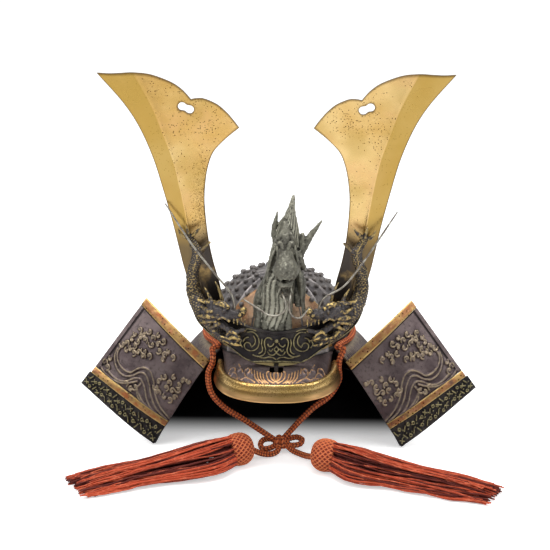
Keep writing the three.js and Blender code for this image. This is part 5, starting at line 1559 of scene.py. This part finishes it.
# Stations of the centre dragon's limbs: across, up, out and thickness, as shares of its size.
DRAGON_LIMBS = {
    "neck": [
        (-0.08, 0.1, 0.64, 0.9), (-0.06, 0.22, 0.65, 1.1), (0, 0.36, 0.65, 1.12), (0.1, 0.52, 0.62, 1.02),
        (0.2, 0.68, 0.62, 0.92), (0.25, 0.8, 0.62, 0.7), (0.3, 0.88, 0.635, 0.34), (0.37, 1, 0.645, 0.06),
    ],
    "left_shoulder": [(-0.04, 0.5, 0.6, 0.6), (-0.3, 0.34, 0.6, 0.7), (-0.42, 0.22, 0.62, 0.4)],
    "right_shoulder": [(0.34, 0.56, 0.6, 0.6), (0.46, 0.42, 0.6, 0.6), (0.5, 0.3, 0.62, 0.3)],
    "forehead": [(0.2, 0.84, 0.66, 0.3), (0.2, 0.76, 0.71, 0.5), (0.2, 0.7, 0.74, 0.5)],
    "snout": [
        (0.2, 0.72, 0.72, 0.5), (0.2, 0.64, 0.77, 0.6), (0.205, 0.57, 0.83, 0.88), (0.2, 0.52, 0.855, 0.66),
    ],
    "left_nostril": [(0.08, 0.6, 0.86, 0.18), (0.07, 0.555, 0.9, 0.22), (0.13, 0.53, 0.92, 0.14)],
    "right_nostril": [(0.32, 0.6, 0.86, 0.18), (0.33, 0.555, 0.9, 0.22), (0.27, 0.53, 0.92, 0.14)],
    "lip": [(0.02, 0.54, 0.8, 0.2), (0.12, 0.5, 0.9, 0.2), (0.28, 0.5, 0.9, 0.2), (0.38, 0.54, 0.8, 0.2)],
    "jaw": [(0.14, 0.47, 0.7, 0.5), (0.16, 0.44, 0.82, 0.42), (0.18, 0.42, 0.87, 0.3)],
    "left_eyelid": [(0.02, 0.71, 0.74, 0.12), (0.08, 0.735, 0.79, 0.16), (0.15, 0.7, 0.8, 0.12)],
    "right_eyelid": [(0.38, 0.71, 0.74, 0.12), (0.32, 0.735, 0.79, 0.16), (0.25, 0.7, 0.8, 0.12)],
    "left_horn": [(0.03, 0.66, 0.62, 0.34), (-0.05, 0.78, 0.62, 0.26), (0.01, 0.9, 0.64, 0.05)],
    "right_horn": [(0.52, 0.64, 0.62, 0.34), (0.68, 0.72, 0.62, 0.28), (1, 0.842, 0.62, 0.07)],
    "ear": [(0.48, 0.62, 0.62, 0.4), (0.56, 0.7, 0.63, 0.3), (0.57, 0.765, 0.63, 0.12)],
    "left_brow": [(-0.02, 0.72, 0.66, 0.18), (0.06, 0.755, 0.74, 0.22), (0.15, 0.8, 0.72, 0.12)],
    "right_brow": [(0.42, 0.7, 0.66, 0.18), (0.34, 0.75, 0.74, 0.22), (0.26, 0.8, 0.72, 0.12)],
    "left_cheek": [(-0.02, 0.66, 0.68, 0.3), (-0.12, 0.58, 0.7, 0.26), (-0.22, 0.5, 0.66, 0.08)],
    "left_mane": [(-0.06, 0.6, 0.66, 0.3), (-0.2, 0.5, 0.68, 0.26), (-0.34, 0.42, 0.64, 0.06)],
    "right_cheek": [(0.44, 0.66, 0.68, 0.3), (0.54, 0.6, 0.7, 0.26), (0.62, 0.54, 0.66, 0.08)],
    "right_mane": [(0.42, 0.6, 0.64, 0.3), (0.5, 0.5, 0.66, 0.26), (0.56, 0.42, 0.64, 0.06)],
    "beard": [(0.2, 0.44, 0.8, 0.3), (0.24, 0.4, 0.84, 0.2), (0.26, 0.36, 0.84, 0.06)],
}
# Stations of each rib of its base: up and out, then how far apart and how thick the ribs are.
RIBBED_BASE = [(0.03, 0.761, 1, 1), (0.178, 0.767, 1, 1), (0.327, 0.711, 0.85, 0.7)]


def dragon_place(across, up, out):
    return np.stack([
        np.asarray(across) * DRAGON_HALF_WIDE, -np.asarray(out) * DRAGON_DEEP,
        DRAGON_LOW + np.asarray(up) * DRAGON_TALL,
    ], axis=-1)


def add_center_dragon():
    limbs = []
    for name, rows in DRAGON_LIMBS.items():
        across, up, out, thick = np.array(rows).T
        limbs.append((name, limb_line(dragon_place(across, up, out), thick * DRAGON_THICK)))
    limbs += [("spike", line) for line in spike_lines(limbs[0][1], 14, 0.0034, np.array([0.4, 1.0, 0.1]))]
    up, out, narrow, thick = np.array(RIBBED_BASE).T
    for share in np.linspace(-0.62, 0.38, RIBBED_BASE_RIBS):
        across = share * narrow * RIBBED_BASE_WIDE / DRAGON_HALF_WIDE
        limbs.append(("rib", limb_line(dragon_place(across, up, out), thick * RIBBED_BASE_RIB_RADIUS)))
    for side, middle in ((-1, 0.12), (1, 0.29)):
        limbs.append(("eyeball", ball_line(dragon_place(middle, 0.69, 0.785), 0.0015)))
        across = [middle, middle + 0.05 * side, middle + 0.09 * side]
        fang = dragon_place(across, [0.5, 0.46, 0.42], [0.86, 0.88, 0.87])
        limbs.append(("fang", limb_line(fang, [0.0011, 0.0009, 0.0003], FINE_LIMB_STEP)))
    for across in (0.1, 0.16, 0.22, 0.28):
        tooth = dragon_place([across] * 3, [0.5, 0.485, 0.468], [0.9, 0.91, 0.905])
        limbs.append(("tooth", limb_line(tooth, [0.0009, 0.0008, 0.0003], FINE_LIMB_STEP)))
    for index in range(MANE_LOCKS):
        side, share = (-1, 1)[index % 2], index / MANE_LOCKS
        root = 0.2 + side * lerp(0.2, 0.3, share)
        tip = 0.12 + side * (lerp(0.34, 0.52, share) + rng.uniform(-0.04, 0.04))
        high = lerp(0.7, 0.42, share)
        lock = dragon_place(
            [root, lerp(root, tip, 0.5) + side * 0.03, tip],
            [high, high - 0.08, high - rng.uniform(0.16, 0.24)],
            [0.68, 0.735 - 0.03 * share, 0.7 - 0.02 * share],
        )
        limbs.append(("lock", limb_line(lock, [0.0015, 0.0014, 0.0004])))
    cast_piece(
        "pewter_dragon", limbs, "pewter", ["center_dragon"], "neck",
        lambda along, turn: strand_height(along, turn, STRAND_PITCH, STRAND_GROOVES), CENTER_GRAIN,
    )


add_center_dragon()

# Whisker wires, as shares of their dragon's size.
SIDE_WIRES = {
    -1: [(0.183, 0.32, 0.314), (0.225, 0.44, 0.309), (0.457, 0.605, 0.347), (0.757, 0.84, 0.452),
         (1.11, 1.17, 0.011)],
    1: [(0.183, 0.32, 0.314), (0.258, 0.42, 0.348), (0.523, 0.513, 0.557), (0.765, 0.694, 0.631),
        (1.225, 1.116, 0.059)],
}
CENTER_WIRES = {
    -1: [(0.097, 0.457, 0.844), (0.183, 0.42, 0.939), (0.228, 0.383, 0.956), (0.178, 0.346, 0.956),
         (0.028, 0.317, 0.944), (-0.175, 0.315, 0.922), (-0.378, 0.343, 0.889), (-0.736, 0.394, 0.844)],
    1: [(0.292, 0.461, 0.844), (0.317, 0.428, 0.939), (0.294, 0.39, 0.956), (0.311, 0.342, 0.956),
        (0.417, 0.305, 0.944), (0.542, 0.308, 0.956), (0.728, 0.369, 0.956)],
}


def add_wires(side, label):
    for name, places in (
        ("side_whisker_", side_dragon_place(side, *np.array(SIDE_WIRES[side]).T)),
        ("whisker_", dragon_place(*np.array(CENTER_WIRES[side]).T)),
    ):
        path = even_path(places, 0.0012)
        taper = np.interp(np.arange(len(path)), [0, len(path) * 0.8, len(path) - 1], [1, 1, 0.6])
        rings = tube_rings(path, WIRE_RADIUS * taper[:, None], 12)
        thing = new_object("drawn_" + name + label, *tube_mesh(rings))
        finish_piece(thing, FINISHES["wire"], [name + label])


for side_sign, side_name in SIDES:
    add_wires(side_sign, side_name)


# Neck guard

GUARD_HEIGHT = BOWL_RIM_HEIGHT + GUARD_TOP_LIFT
GUARD_WALL_IN = 0.6 * GUARD_WALL
GUARD_WALL_DOWN = 0.8 * GUARD_WALL
GUARD_TOP_OUT = RIB_HEIGHT + 2 * SEAT_GAP + GUARD_WALL_IN


def guard_point(turn, drop, outset=0):
    flare = drop ** GUARD_FLARE
    half_width = lerp(BOWL_HALF_WIDTH + GUARD_TOP_OUT, GUARD_HALF_WIDTH, flare) + outset
    half_length = lerp(BOWL_HALF_LENGTH + GUARD_TOP_OUT, GUARD_HALF_LENGTH, flare) + outset
    return np.stack(np.broadcast_arrays(
        half_width * np.sin(turn), -half_length * np.cos(turn), GUARD_HEIGHT * (1 - drop),
    ), axis=-1)


def guard_edge(drop):
    return np.radians(lerp(GUARD_OPEN_TOP, GUARD_OPEN_BOTTOM, drop))


def guard_turn(share, drop):
    return lerp(guard_edge(drop), 2 * math.pi - guard_edge(drop), share)


def lacing_marks(long, tall, pitch):
    """Cast copy of two rows of lacing: slanting stitches, crosses, rings and dots by turns."""
    lines = []
    reach = pitch * 0.34
    for index in range(int(long / pitch)):
        for row, level in enumerate((0.28, 0.72)):
            x = (index + 0.4 + 0.35 * row) * pitch
            y = tall * (level + 0.05 * (-1) ** index)
            up = [(x - reach * 0.5, y - reach * 1.3), (x + reach * 0.5, y + reach * 1.3)]
            down = [(x - reach * 0.8, y + reach), (x + reach * 0.8, y - reach)]
            kind = (3 * index + 2 * row + index // 4) % 5
            if kind < 2:
                lines.append([up, down][kind])
            elif kind == 2:
                lines += [[(x - reach, y - reach * 0.8), (x + reach, y + reach * 0.8)], down]
            else:
                lines.append(curl((x, y), reach * 0.75, 0, 360, 0))
            dot = (x + pitch / 2, y + reach * (1.2 - 2.4 * row))
            lines.append([dot, (dot[0] + 0.0003, dot[1])])
    return [np.array(line) for line in lines]


def add_neck_guard():
    hem_drop = 1 - (HEM_HEIGHT + SEAT_GAP) / GUARD_HEIGHT
    shares = np.linspace(0, 1, COLUMNS_PER_FLUTE * LAME_FLUTES + 1)[None]
    rows = []
    for i in range(LAME_COUNT):
        for share in np.linspace(0, 1, LAME_ROWS):
            overlap = LAME_OVERLAP if share == 0 and i else 0
            rows.append((lerp(i, i + 1, share) / LAME_COUNT * hem_drop + overlap, share))
    drop, fall = np.array(rows).T[:, :, None]
    flute = np.cos(shares * LAME_FLUTES * 2 * math.pi) ** 2
    outset = LAME_STEP * fall + 0.0005 * flute * np.sin(fall * math.pi) ** 0.5
    turn = guard_turn(shares, drop)
    front = guard_point(turn, drop, outset)
    back = guard_point(turn, drop, np.broadcast_to(-GUARD_WALL_IN, turn.shape))
    back[..., 2] = np.maximum(back[..., 2] - GUARD_WALL_DOWN, HEM_HEIGHT + SEAT_GAP)
    thing = new_object("lamed_neck_guard", *plate_mesh(front, back, FINE_BACK_STEP))
    proud = proudness(thing.data, 6, 0.0007)
    # The inside is given a proud share of 0, so its finish paints it dark as shade.
    proud[front[..., 0].size:] = 0
    set_mark(thing.data, "proud", proud)
    finish_piece(thing, FINISHES["relief"], ["neck_guard"], sharp=50)

    top = 1 - HEM_HEIGHT / GUARD_HEIGHT
    shares = np.linspace(0, 1, HEM_COLUMNS)[None]
    level = np.linspace(0, 1, HEM_ROWS)[:, None]
    drop = lerp(1, top, level)
    turn = guard_turn(shares, drop)
    long = float(np.linalg.norm(np.diff(guard_point(guard_turn(shares[0], 1), 1), axis=0), axis=1).sum())
    flat = np.stack(np.broadcast_arrays(shares * long, level * HEM_HEIGHT), axis=-1)
    marks = raised(flat.reshape(-1, 2), lacing_marks(long, HEM_HEIGHT, HEM_MARK_PITCH), MARK_HALF_WIDTH)
    marks = marks.reshape(flat.shape[:2])
    front = guard_point(turn, drop, LAME_STEP * level + HEM_MARK_HEIGHT * marks)
    back = guard_point(turn, drop, LAME_STEP * level - HEM_WALL)
    hem = new_object("laced_hem", *plate_mesh(front, back))
    # Only the tops of the marks lighten: rubbed gilt and painted highlight.
    set_mark(hem.data, "proud", 0.42 + 0.55 * marks.ravel() ** 3, rest=0.42)
    finish_piece(hem, FINISHES["dark"], ["neck_guard_hem"], sharp=55)


add_neck_guard()


# Flaps

def flap_place(side, u, v):
    drop = lerp(FLAP_TOP_DROP, FLAP_BOTTOM_DROP, v)
    edge = guard_edge(drop)
    outward = np.stack(np.broadcast_arrays(-np.cos(edge), -np.sin(edge), 0 * edge), axis=-1)
    inner = guard_point(edge, drop) + outward * FLAP_SEAT
    outer = lerp(np.array(FLAP_TIP), np.array(FLAP_FOOT), np.asarray(v)[..., None])
    return lerp(inner, outer, np.asarray(u)[..., None]) * [side, 1, 1]


def flap_point(side, u, v, out):
    u, v = np.broadcast_arrays(u, v)
    along_u = flap_place(side, u + 0.01, v) - flap_place(side, u - 0.01, v)
    along_v = flap_place(side, u, v + 0.01) - flap_place(side, u, v - 0.01)
    normal = unit(np.cross(along_u, along_v))
    forward = np.where(normal[..., 1:2] < 0, normal, -normal)
    return flap_place(side, u, v) + forward * np.asarray(out + FLAP_BULGE * 4 * u * (1 - u))[..., None]


def flap_length(u):
    u = np.asarray(u, float)
    return np.linalg.norm(flap_place(1, u, np.zeros_like(u)) - flap_place(1, u, np.ones_like(u)), axis=-1)


FLAP_REACH = float(np.linalg.norm(flap_place(1, 0.0, 0.0) - flap_place(1, 1.0, 0.0)))


def hem_top(u):
    return 1 - lerp(FLAP_HEM_INNER, FLAP_HEM_OUTER, u) / flap_length(u)


def low_trim_top(u):
    return hem_top(u) - LOW_TRIM_WIDTH / flap_length(u)


def top_trim_low(u):
    return TOP_TRIM_WIDTH / flap_length(u)


def flap_flat(u, v):
    """Place on a flap laid flat, in metres across and down."""
    return np.stack(np.broadcast_arrays(u * FLAP_REACH, v * flap_length(u)), axis=-1)


def flap_strip(name, side, limits, wall, out_at, columns, rows, ends=(0, 1)):
    """Closed strip of a flap between two lines across it. out_at gives how far it stands proud."""
    u = np.linspace(*ends, columns)[None]
    share = np.linspace(0, 1, rows)[:, None]
    gap = SEAT_GAP / 2 / flap_length(u)
    v = lerp(limits[0](u) + gap, limits[1](u) - gap, share)
    extra = out_at(u + 0 * v, v, share + 0 * u)
    back = -FLAP_WALL / 2
    front = flap_point(side, u, v, wall + back + extra)
    rear = flap_point(side, u, v, back + 0 * extra)
    return new_object(name, *plate_mesh(front, rear)), extra


# Ribs of the wave relief: u from the neck guard outwards and v from the top edge down.
WAVE_RIBS = [
    [(0.009, 0.676), (0.142, 0.646), (0.266, 0.584), (0.359, 0.501), (0.457, 0.454), (0.538, 0.471),
     (0.593, 0.527), (0.634, 0.597), (0.716, 0.623), (0.814, 0.61), (0.878, 0.565), (0.895, 0.503),
     (0.874, 0.447)],
    [(0.026, 0.705), (0.172, 0.684), (0.296, 0.622), (0.395, 0.543), (0.483, 0.507), (0.544, 0.533),
     (0.589, 0.599), (0.661, 0.658), (0.758, 0.669), (0.841, 0.637), (0.896, 0.586), (0.916, 0.526)],
    [(0.069, 0.728), (0.212, 0.721), (0.32, 0.673), (0.422, 0.596), (0.496, 0.574), (0.558, 0.61),
     (0.616, 0.684), (0.697, 0.733), (0.782, 0.743), (0.853, 0.736)],
    [(0.192, 0.732), (0.302, 0.727), (0.402, 0.698), (0.468, 0.662), (0.468, 0.604)],
    [(0.514, 0.612), (0.602, 0.699), (0.683, 0.748), (0.783, 0.777), (0.866, 0.777), (0.946, 0.759)],
    [(0.262, 0.749), (0.343, 0.74), (0.417, 0.717), (0.465, 0.676)],
]
# Middles of the curls of foam, u and v.
FOAM_CURLS = [
    (0.843, 0.311), (0.827, 0.25), (0.744, 0.256), (0.727, 0.195), (0.646, 0.21), (0.608, 0.158),
    (0.525, 0.164), (0.552, 0.216), (0.616, 0.263), (0.703, 0.276), (0.767, 0.289), (0.503, 0.255),
    (0.43, 0.244), (0.41, 0.196), (0.334, 0.206), (0.406, 0.284), (0.899, 0.465), (0.864, 0.424),
    (0.788, 0.436), (0.768, 0.389), (0.685, 0.403), (0.641, 0.358), (0.561, 0.355), (0.836, 0.363),
    (0.771, 0.341), (0.616, 0.4), (0.817, 0.473), (0.728, 0.442), (0.308, 0.463), (0.291, 0.393),
    (0.21, 0.405), (0.198, 0.336), (0.112, 0.358), (0.094, 0.299), (0.041, 0.268), (0.207, 0.461),
    (0.134, 0.441), (0.088, 0.396), (0.252, 0.548), (0.17, 0.539), (0.105, 0.526), (0.07, 0.475),
    (0.303, 0.527), (0.609, 0.704), (0.527, 0.712), (0.5, 0.668), (0.941, 0.699), (0.916, 0.641),
    (0.885, 0.717),
]
CURL_TURN = 137.5


def add_flap(side, label):
    ribs = [even_path(flap_flat(*np.array(rows).T), 0.0008) for rows in WAVE_RIBS]
    curls, beads = [], []
    for index, (u, v) in enumerate(FOAM_CURLS):
        middle = flap_flat(np.array(u), np.array(v))
        size = lerp(1.0, 1.5, index * 0.618 % 1)
        curls.append(curl(middle, FOAM_CURL * size, index * CURL_TURN, 250))
        beads.append(np.array([middle, middle + 1e-5]))

    def panel_out(u, v, share):
        flat = flap_flat(u, v).reshape(-1, 2)
        wave = raised(flat, ribs, WAVE_HALF_WIDTH)
        foam = np.maximum(raised(flat, curls, 0.0011), 0.85 * raised(flat, beads, 0.0015))
        from_edge = (1 - u) * FLAP_REACH
        beside = np.minimum(share, 1 - share) * (low_trim_top(u) - top_trim_low(u)) * flap_length(u)
        band = 0.0005 * np.clip((FLAP_RIM_BAND - from_edge) / 0.0004, 0, 1)
        groove = 0.0006 * np.exp(-((from_edge - FLAP_RIM_BAND - FLAP_GROOVE) / FLAP_GROOVE) ** 2)
        outline = 0.0005 * np.exp(-(beside / FLAP_GROOVE) ** 2)
        relief = np.maximum(wave * WAVE_HEIGHT, foam * FOAM_HEIGHT).reshape(u.shape)
        return relief + band - np.maximum(groove, outline)

    panel, extra = flap_strip(
        "wave_panel_" + label, side, (top_trim_low, low_trim_top), FLAP_WALL, panel_out,
        FLAP_PANEL_COLUMNS, FLAP_PANEL_ROWS,
    )
    # Only the wave tops lighten: rubbed metal and painted highlight.
    proud = 0.42 + 0.5 * np.clip(extra / WAVE_HEIGHT, 0, 1) ** 4 + 900 * np.minimum(extra, 0)
    proud = proud.clip(0, 1).ravel()
    set_mark(panel.data, "proud", proud, rest=0.4)
    finish_piece(panel, FINISHES["relief"], ["flap_panel_" + label], sharp=60)

    def crowned(u, v, share):
        return 0.0006 * (np.sqrt(np.clip(1 - (2 * share - 1) ** 2, 0, 1)) - 1)

    for part, limits in (
        ("top", (lambda u: 0 * u, top_trim_low)), ("low", (low_trim_top, hem_top)),
    ):
        name = part + "_strip_" + label
        trim, _ = flap_strip(name, side, limits, TRIM_WALL, crowned, TRIM_COLUMNS, TRIM_ROWS)
        edge = np.abs(np.linspace(-1, 1, TRIM_ROWS)).repeat(TRIM_COLUMNS)
        set_mark(trim.data, "thin_edge", 0.8 * np.clip((edge - 0.74) * 8, 0, 1))
        finish_piece(trim, FINISHES["copper"], ["flap_" + part + "_trim_" + label])

    marks = lacing_marks(FLAP_REACH, HEM_HEIGHT, FLAP_MARK_PITCH)

    def hem_out(u, v, share):
        flat = np.stack([u * FLAP_REACH, share * HEM_HEIGHT], axis=-1).reshape(-1, 2)
        lower_lip = 0.4 * np.clip((share - 0.93) / 0.05, 0, 1)
        return MARK_HEIGHT * np.maximum(raised(flat, marks, MARK_HALF_WIDTH).reshape(u.shape), lower_lip)

    hem, extra = flap_strip(
        "laced_band_" + label, side, (hem_top, lambda u: 1 + 0 * u), FLAP_WALL, hem_out,
        BAND_COLUMNS, BAND_ROWS, ends=(0, BAND_REACH),
    )
    # Only the tops of the marks lighten: rubbed gilt and painted highlight.
    proud = 0.42 + 0.58 * (extra / MARK_HEIGHT).ravel() ** 3
    set_mark(hem.data, "proud", proud, rest=0.42)
    finish_piece(hem, FINISHES["dark"], ["flap_hem_" + label], sharp=60)


for side_sign, side_name in SIDES:
    add_flap(side_sign, side_name)


# Floor and light

def add_floor():
    half = FLOOR_SIZE / 2
    mesh = bpy.data.meshes.new("floor")
    corners = [(-half, -half, 0), (half, -half, 0), (half, half, 0), (-half, half, 0)]
    mesh.from_pydata(corners, [], [(0, 1, 2, 3)])
    floor = put_in_scene("floor", mesh)
    white = bpy.data.materials.new("white_floor_painted_shadow")
    white.use_nodes = True
    tree = white.node_tree
    shader = tree.nodes["Principled BSDF"]
    shader.inputs["Roughness"].default_value = 0.8
    shader.inputs["Emission Color"].default_value = (1, 1, 1, 1)
    place = tree.nodes.new("ShaderNodeSeparateXYZ")
    tree.links.new(tree.nodes.new("ShaderNodeTexCoord").outputs["Object"], place.inputs["Vector"])
    # Painted shadow: the floor is coloured near black under the helmet, fading out towards the front, and its
    # glow is left off there.
    across = math_node(tree, "POWER", math_node(tree, "ABSOLUTE", place.outputs["X"]), 2)
    back = math_node(tree, "SUBTRACT", place.outputs["Y"], AXIS_BACK)
    behind = math_node(tree, "POWER", math_node(tree, "ABSOLUTE", back), 2)
    reach = math_node(tree, "SQRT", math_node(tree, "ADD", across, behind))
    outside = step_node(tree, reach, GUARD_HALF_WIDTH, GUARD_HALF_WIDTH * SHADOW_SPREAD)
    painted_shadow = math_node(tree, "SUBTRACT", 1.0, outside)
    painted_shadow = math_node(tree, "MULTIPLY", painted_shadow, step_node(tree, back, SHADOW_FRONT, SHADOW_BACK))
    open_floor = math_node(tree, "SUBTRACT", 1.0, painted_shadow)
    mix = tree.nodes.new("ShaderNodeMix")
    mix.data_type = "RGBA"
    tree.links.new(painted_shadow, mix.inputs["Factor"])
    mix.inputs["A"].default_value = (0.86, 0.86, 0.86, 1)
    mix.inputs["B"].default_value = colour(14, 13, 20)
    tree.links.new(mix.outputs["Result"], shader.inputs["Base Color"])
    seen = tree.nodes.new("ShaderNodeLightPath").outputs["Is Camera Ray"]
    glow = math_node(tree, "MULTIPLY", math_node(tree, "MULTIPLY", seen, FLOOR_GLOW), open_floor)
    tree.links.new(glow, shader.inputs["Emission Strength"])
    mesh.materials.append(white)


def add_light(name, place, size, power, tint=(1, 1, 1)):
    data = bpy.data.lights.new(name, "AREA")
    data.shape = "DISK"
    data.size = size
    data.energy = power
    data.color = tint
    light = put_in_scene(name, data)
    light.location = place
    light.rotation_euler = (Vector((0, 0, 0.12)) - Vector(place)).to_track_quat("-Z", "Y").to_euler()


def add_world():
    """Dim room, darker below and to the sides, with a white backdrop behind the helmet."""
    world = bpy.data.worlds.new("studio")
    world.use_nodes = True
    tree = world.node_tree
    room = tree.nodes["Background"]
    way = tree.nodes.new("ShaderNodeSeparateXYZ")
    tree.links.new(tree.nodes.new("ShaderNodeTexCoord").outputs["Generated"], way.inputs["Vector"])
    high = step_node(tree, way.outputs["Z"], -0.1, 0.9)
    back = step_node(tree, way.outputs["Y"], -0.2, 0.7)
    level = math_node(tree, "MAXIMUM", high, back)
    strength = math_node(tree, "ADD", math_node(tree, "MULTIPLY", level, ROOM_GLOW), ROOM_DARK)
    tree.links.new(strength, room.inputs["Strength"])
    backdrop = tree.nodes.new("ShaderNodeBackground")
    backdrop.inputs["Color"].default_value = (1, 1, 1, 1)
    room.inputs["Color"].default_value = (1, 1, 1, 1)
    mix = tree.nodes.new("ShaderNodeMixShader")
    tree.links.new(tree.nodes.new("ShaderNodeLightPath").outputs["Is Camera Ray"], mix.inputs["Fac"])
    tree.links.new(room.outputs["Background"], mix.inputs[1])
    tree.links.new(backdrop.outputs["Background"], mix.inputs[2])
    tree.links.new(mix.outputs["Shader"], tree.nodes["World Output"].inputs["Surface"])
    bpy.context.scene.world = world


add_floor()
add_light("left_softbox", (-0.9, -0.7, 1.0), 0.8, 6)
add_light("right_softbox", (1.0, -0.5, 0.8), 0.7, 4)
add_light("top_softbox", (0.0, -0.05, 1.15), 0.9, 9)
add_world()
bpy.context.scene.view_settings.view_transform = "Standard"
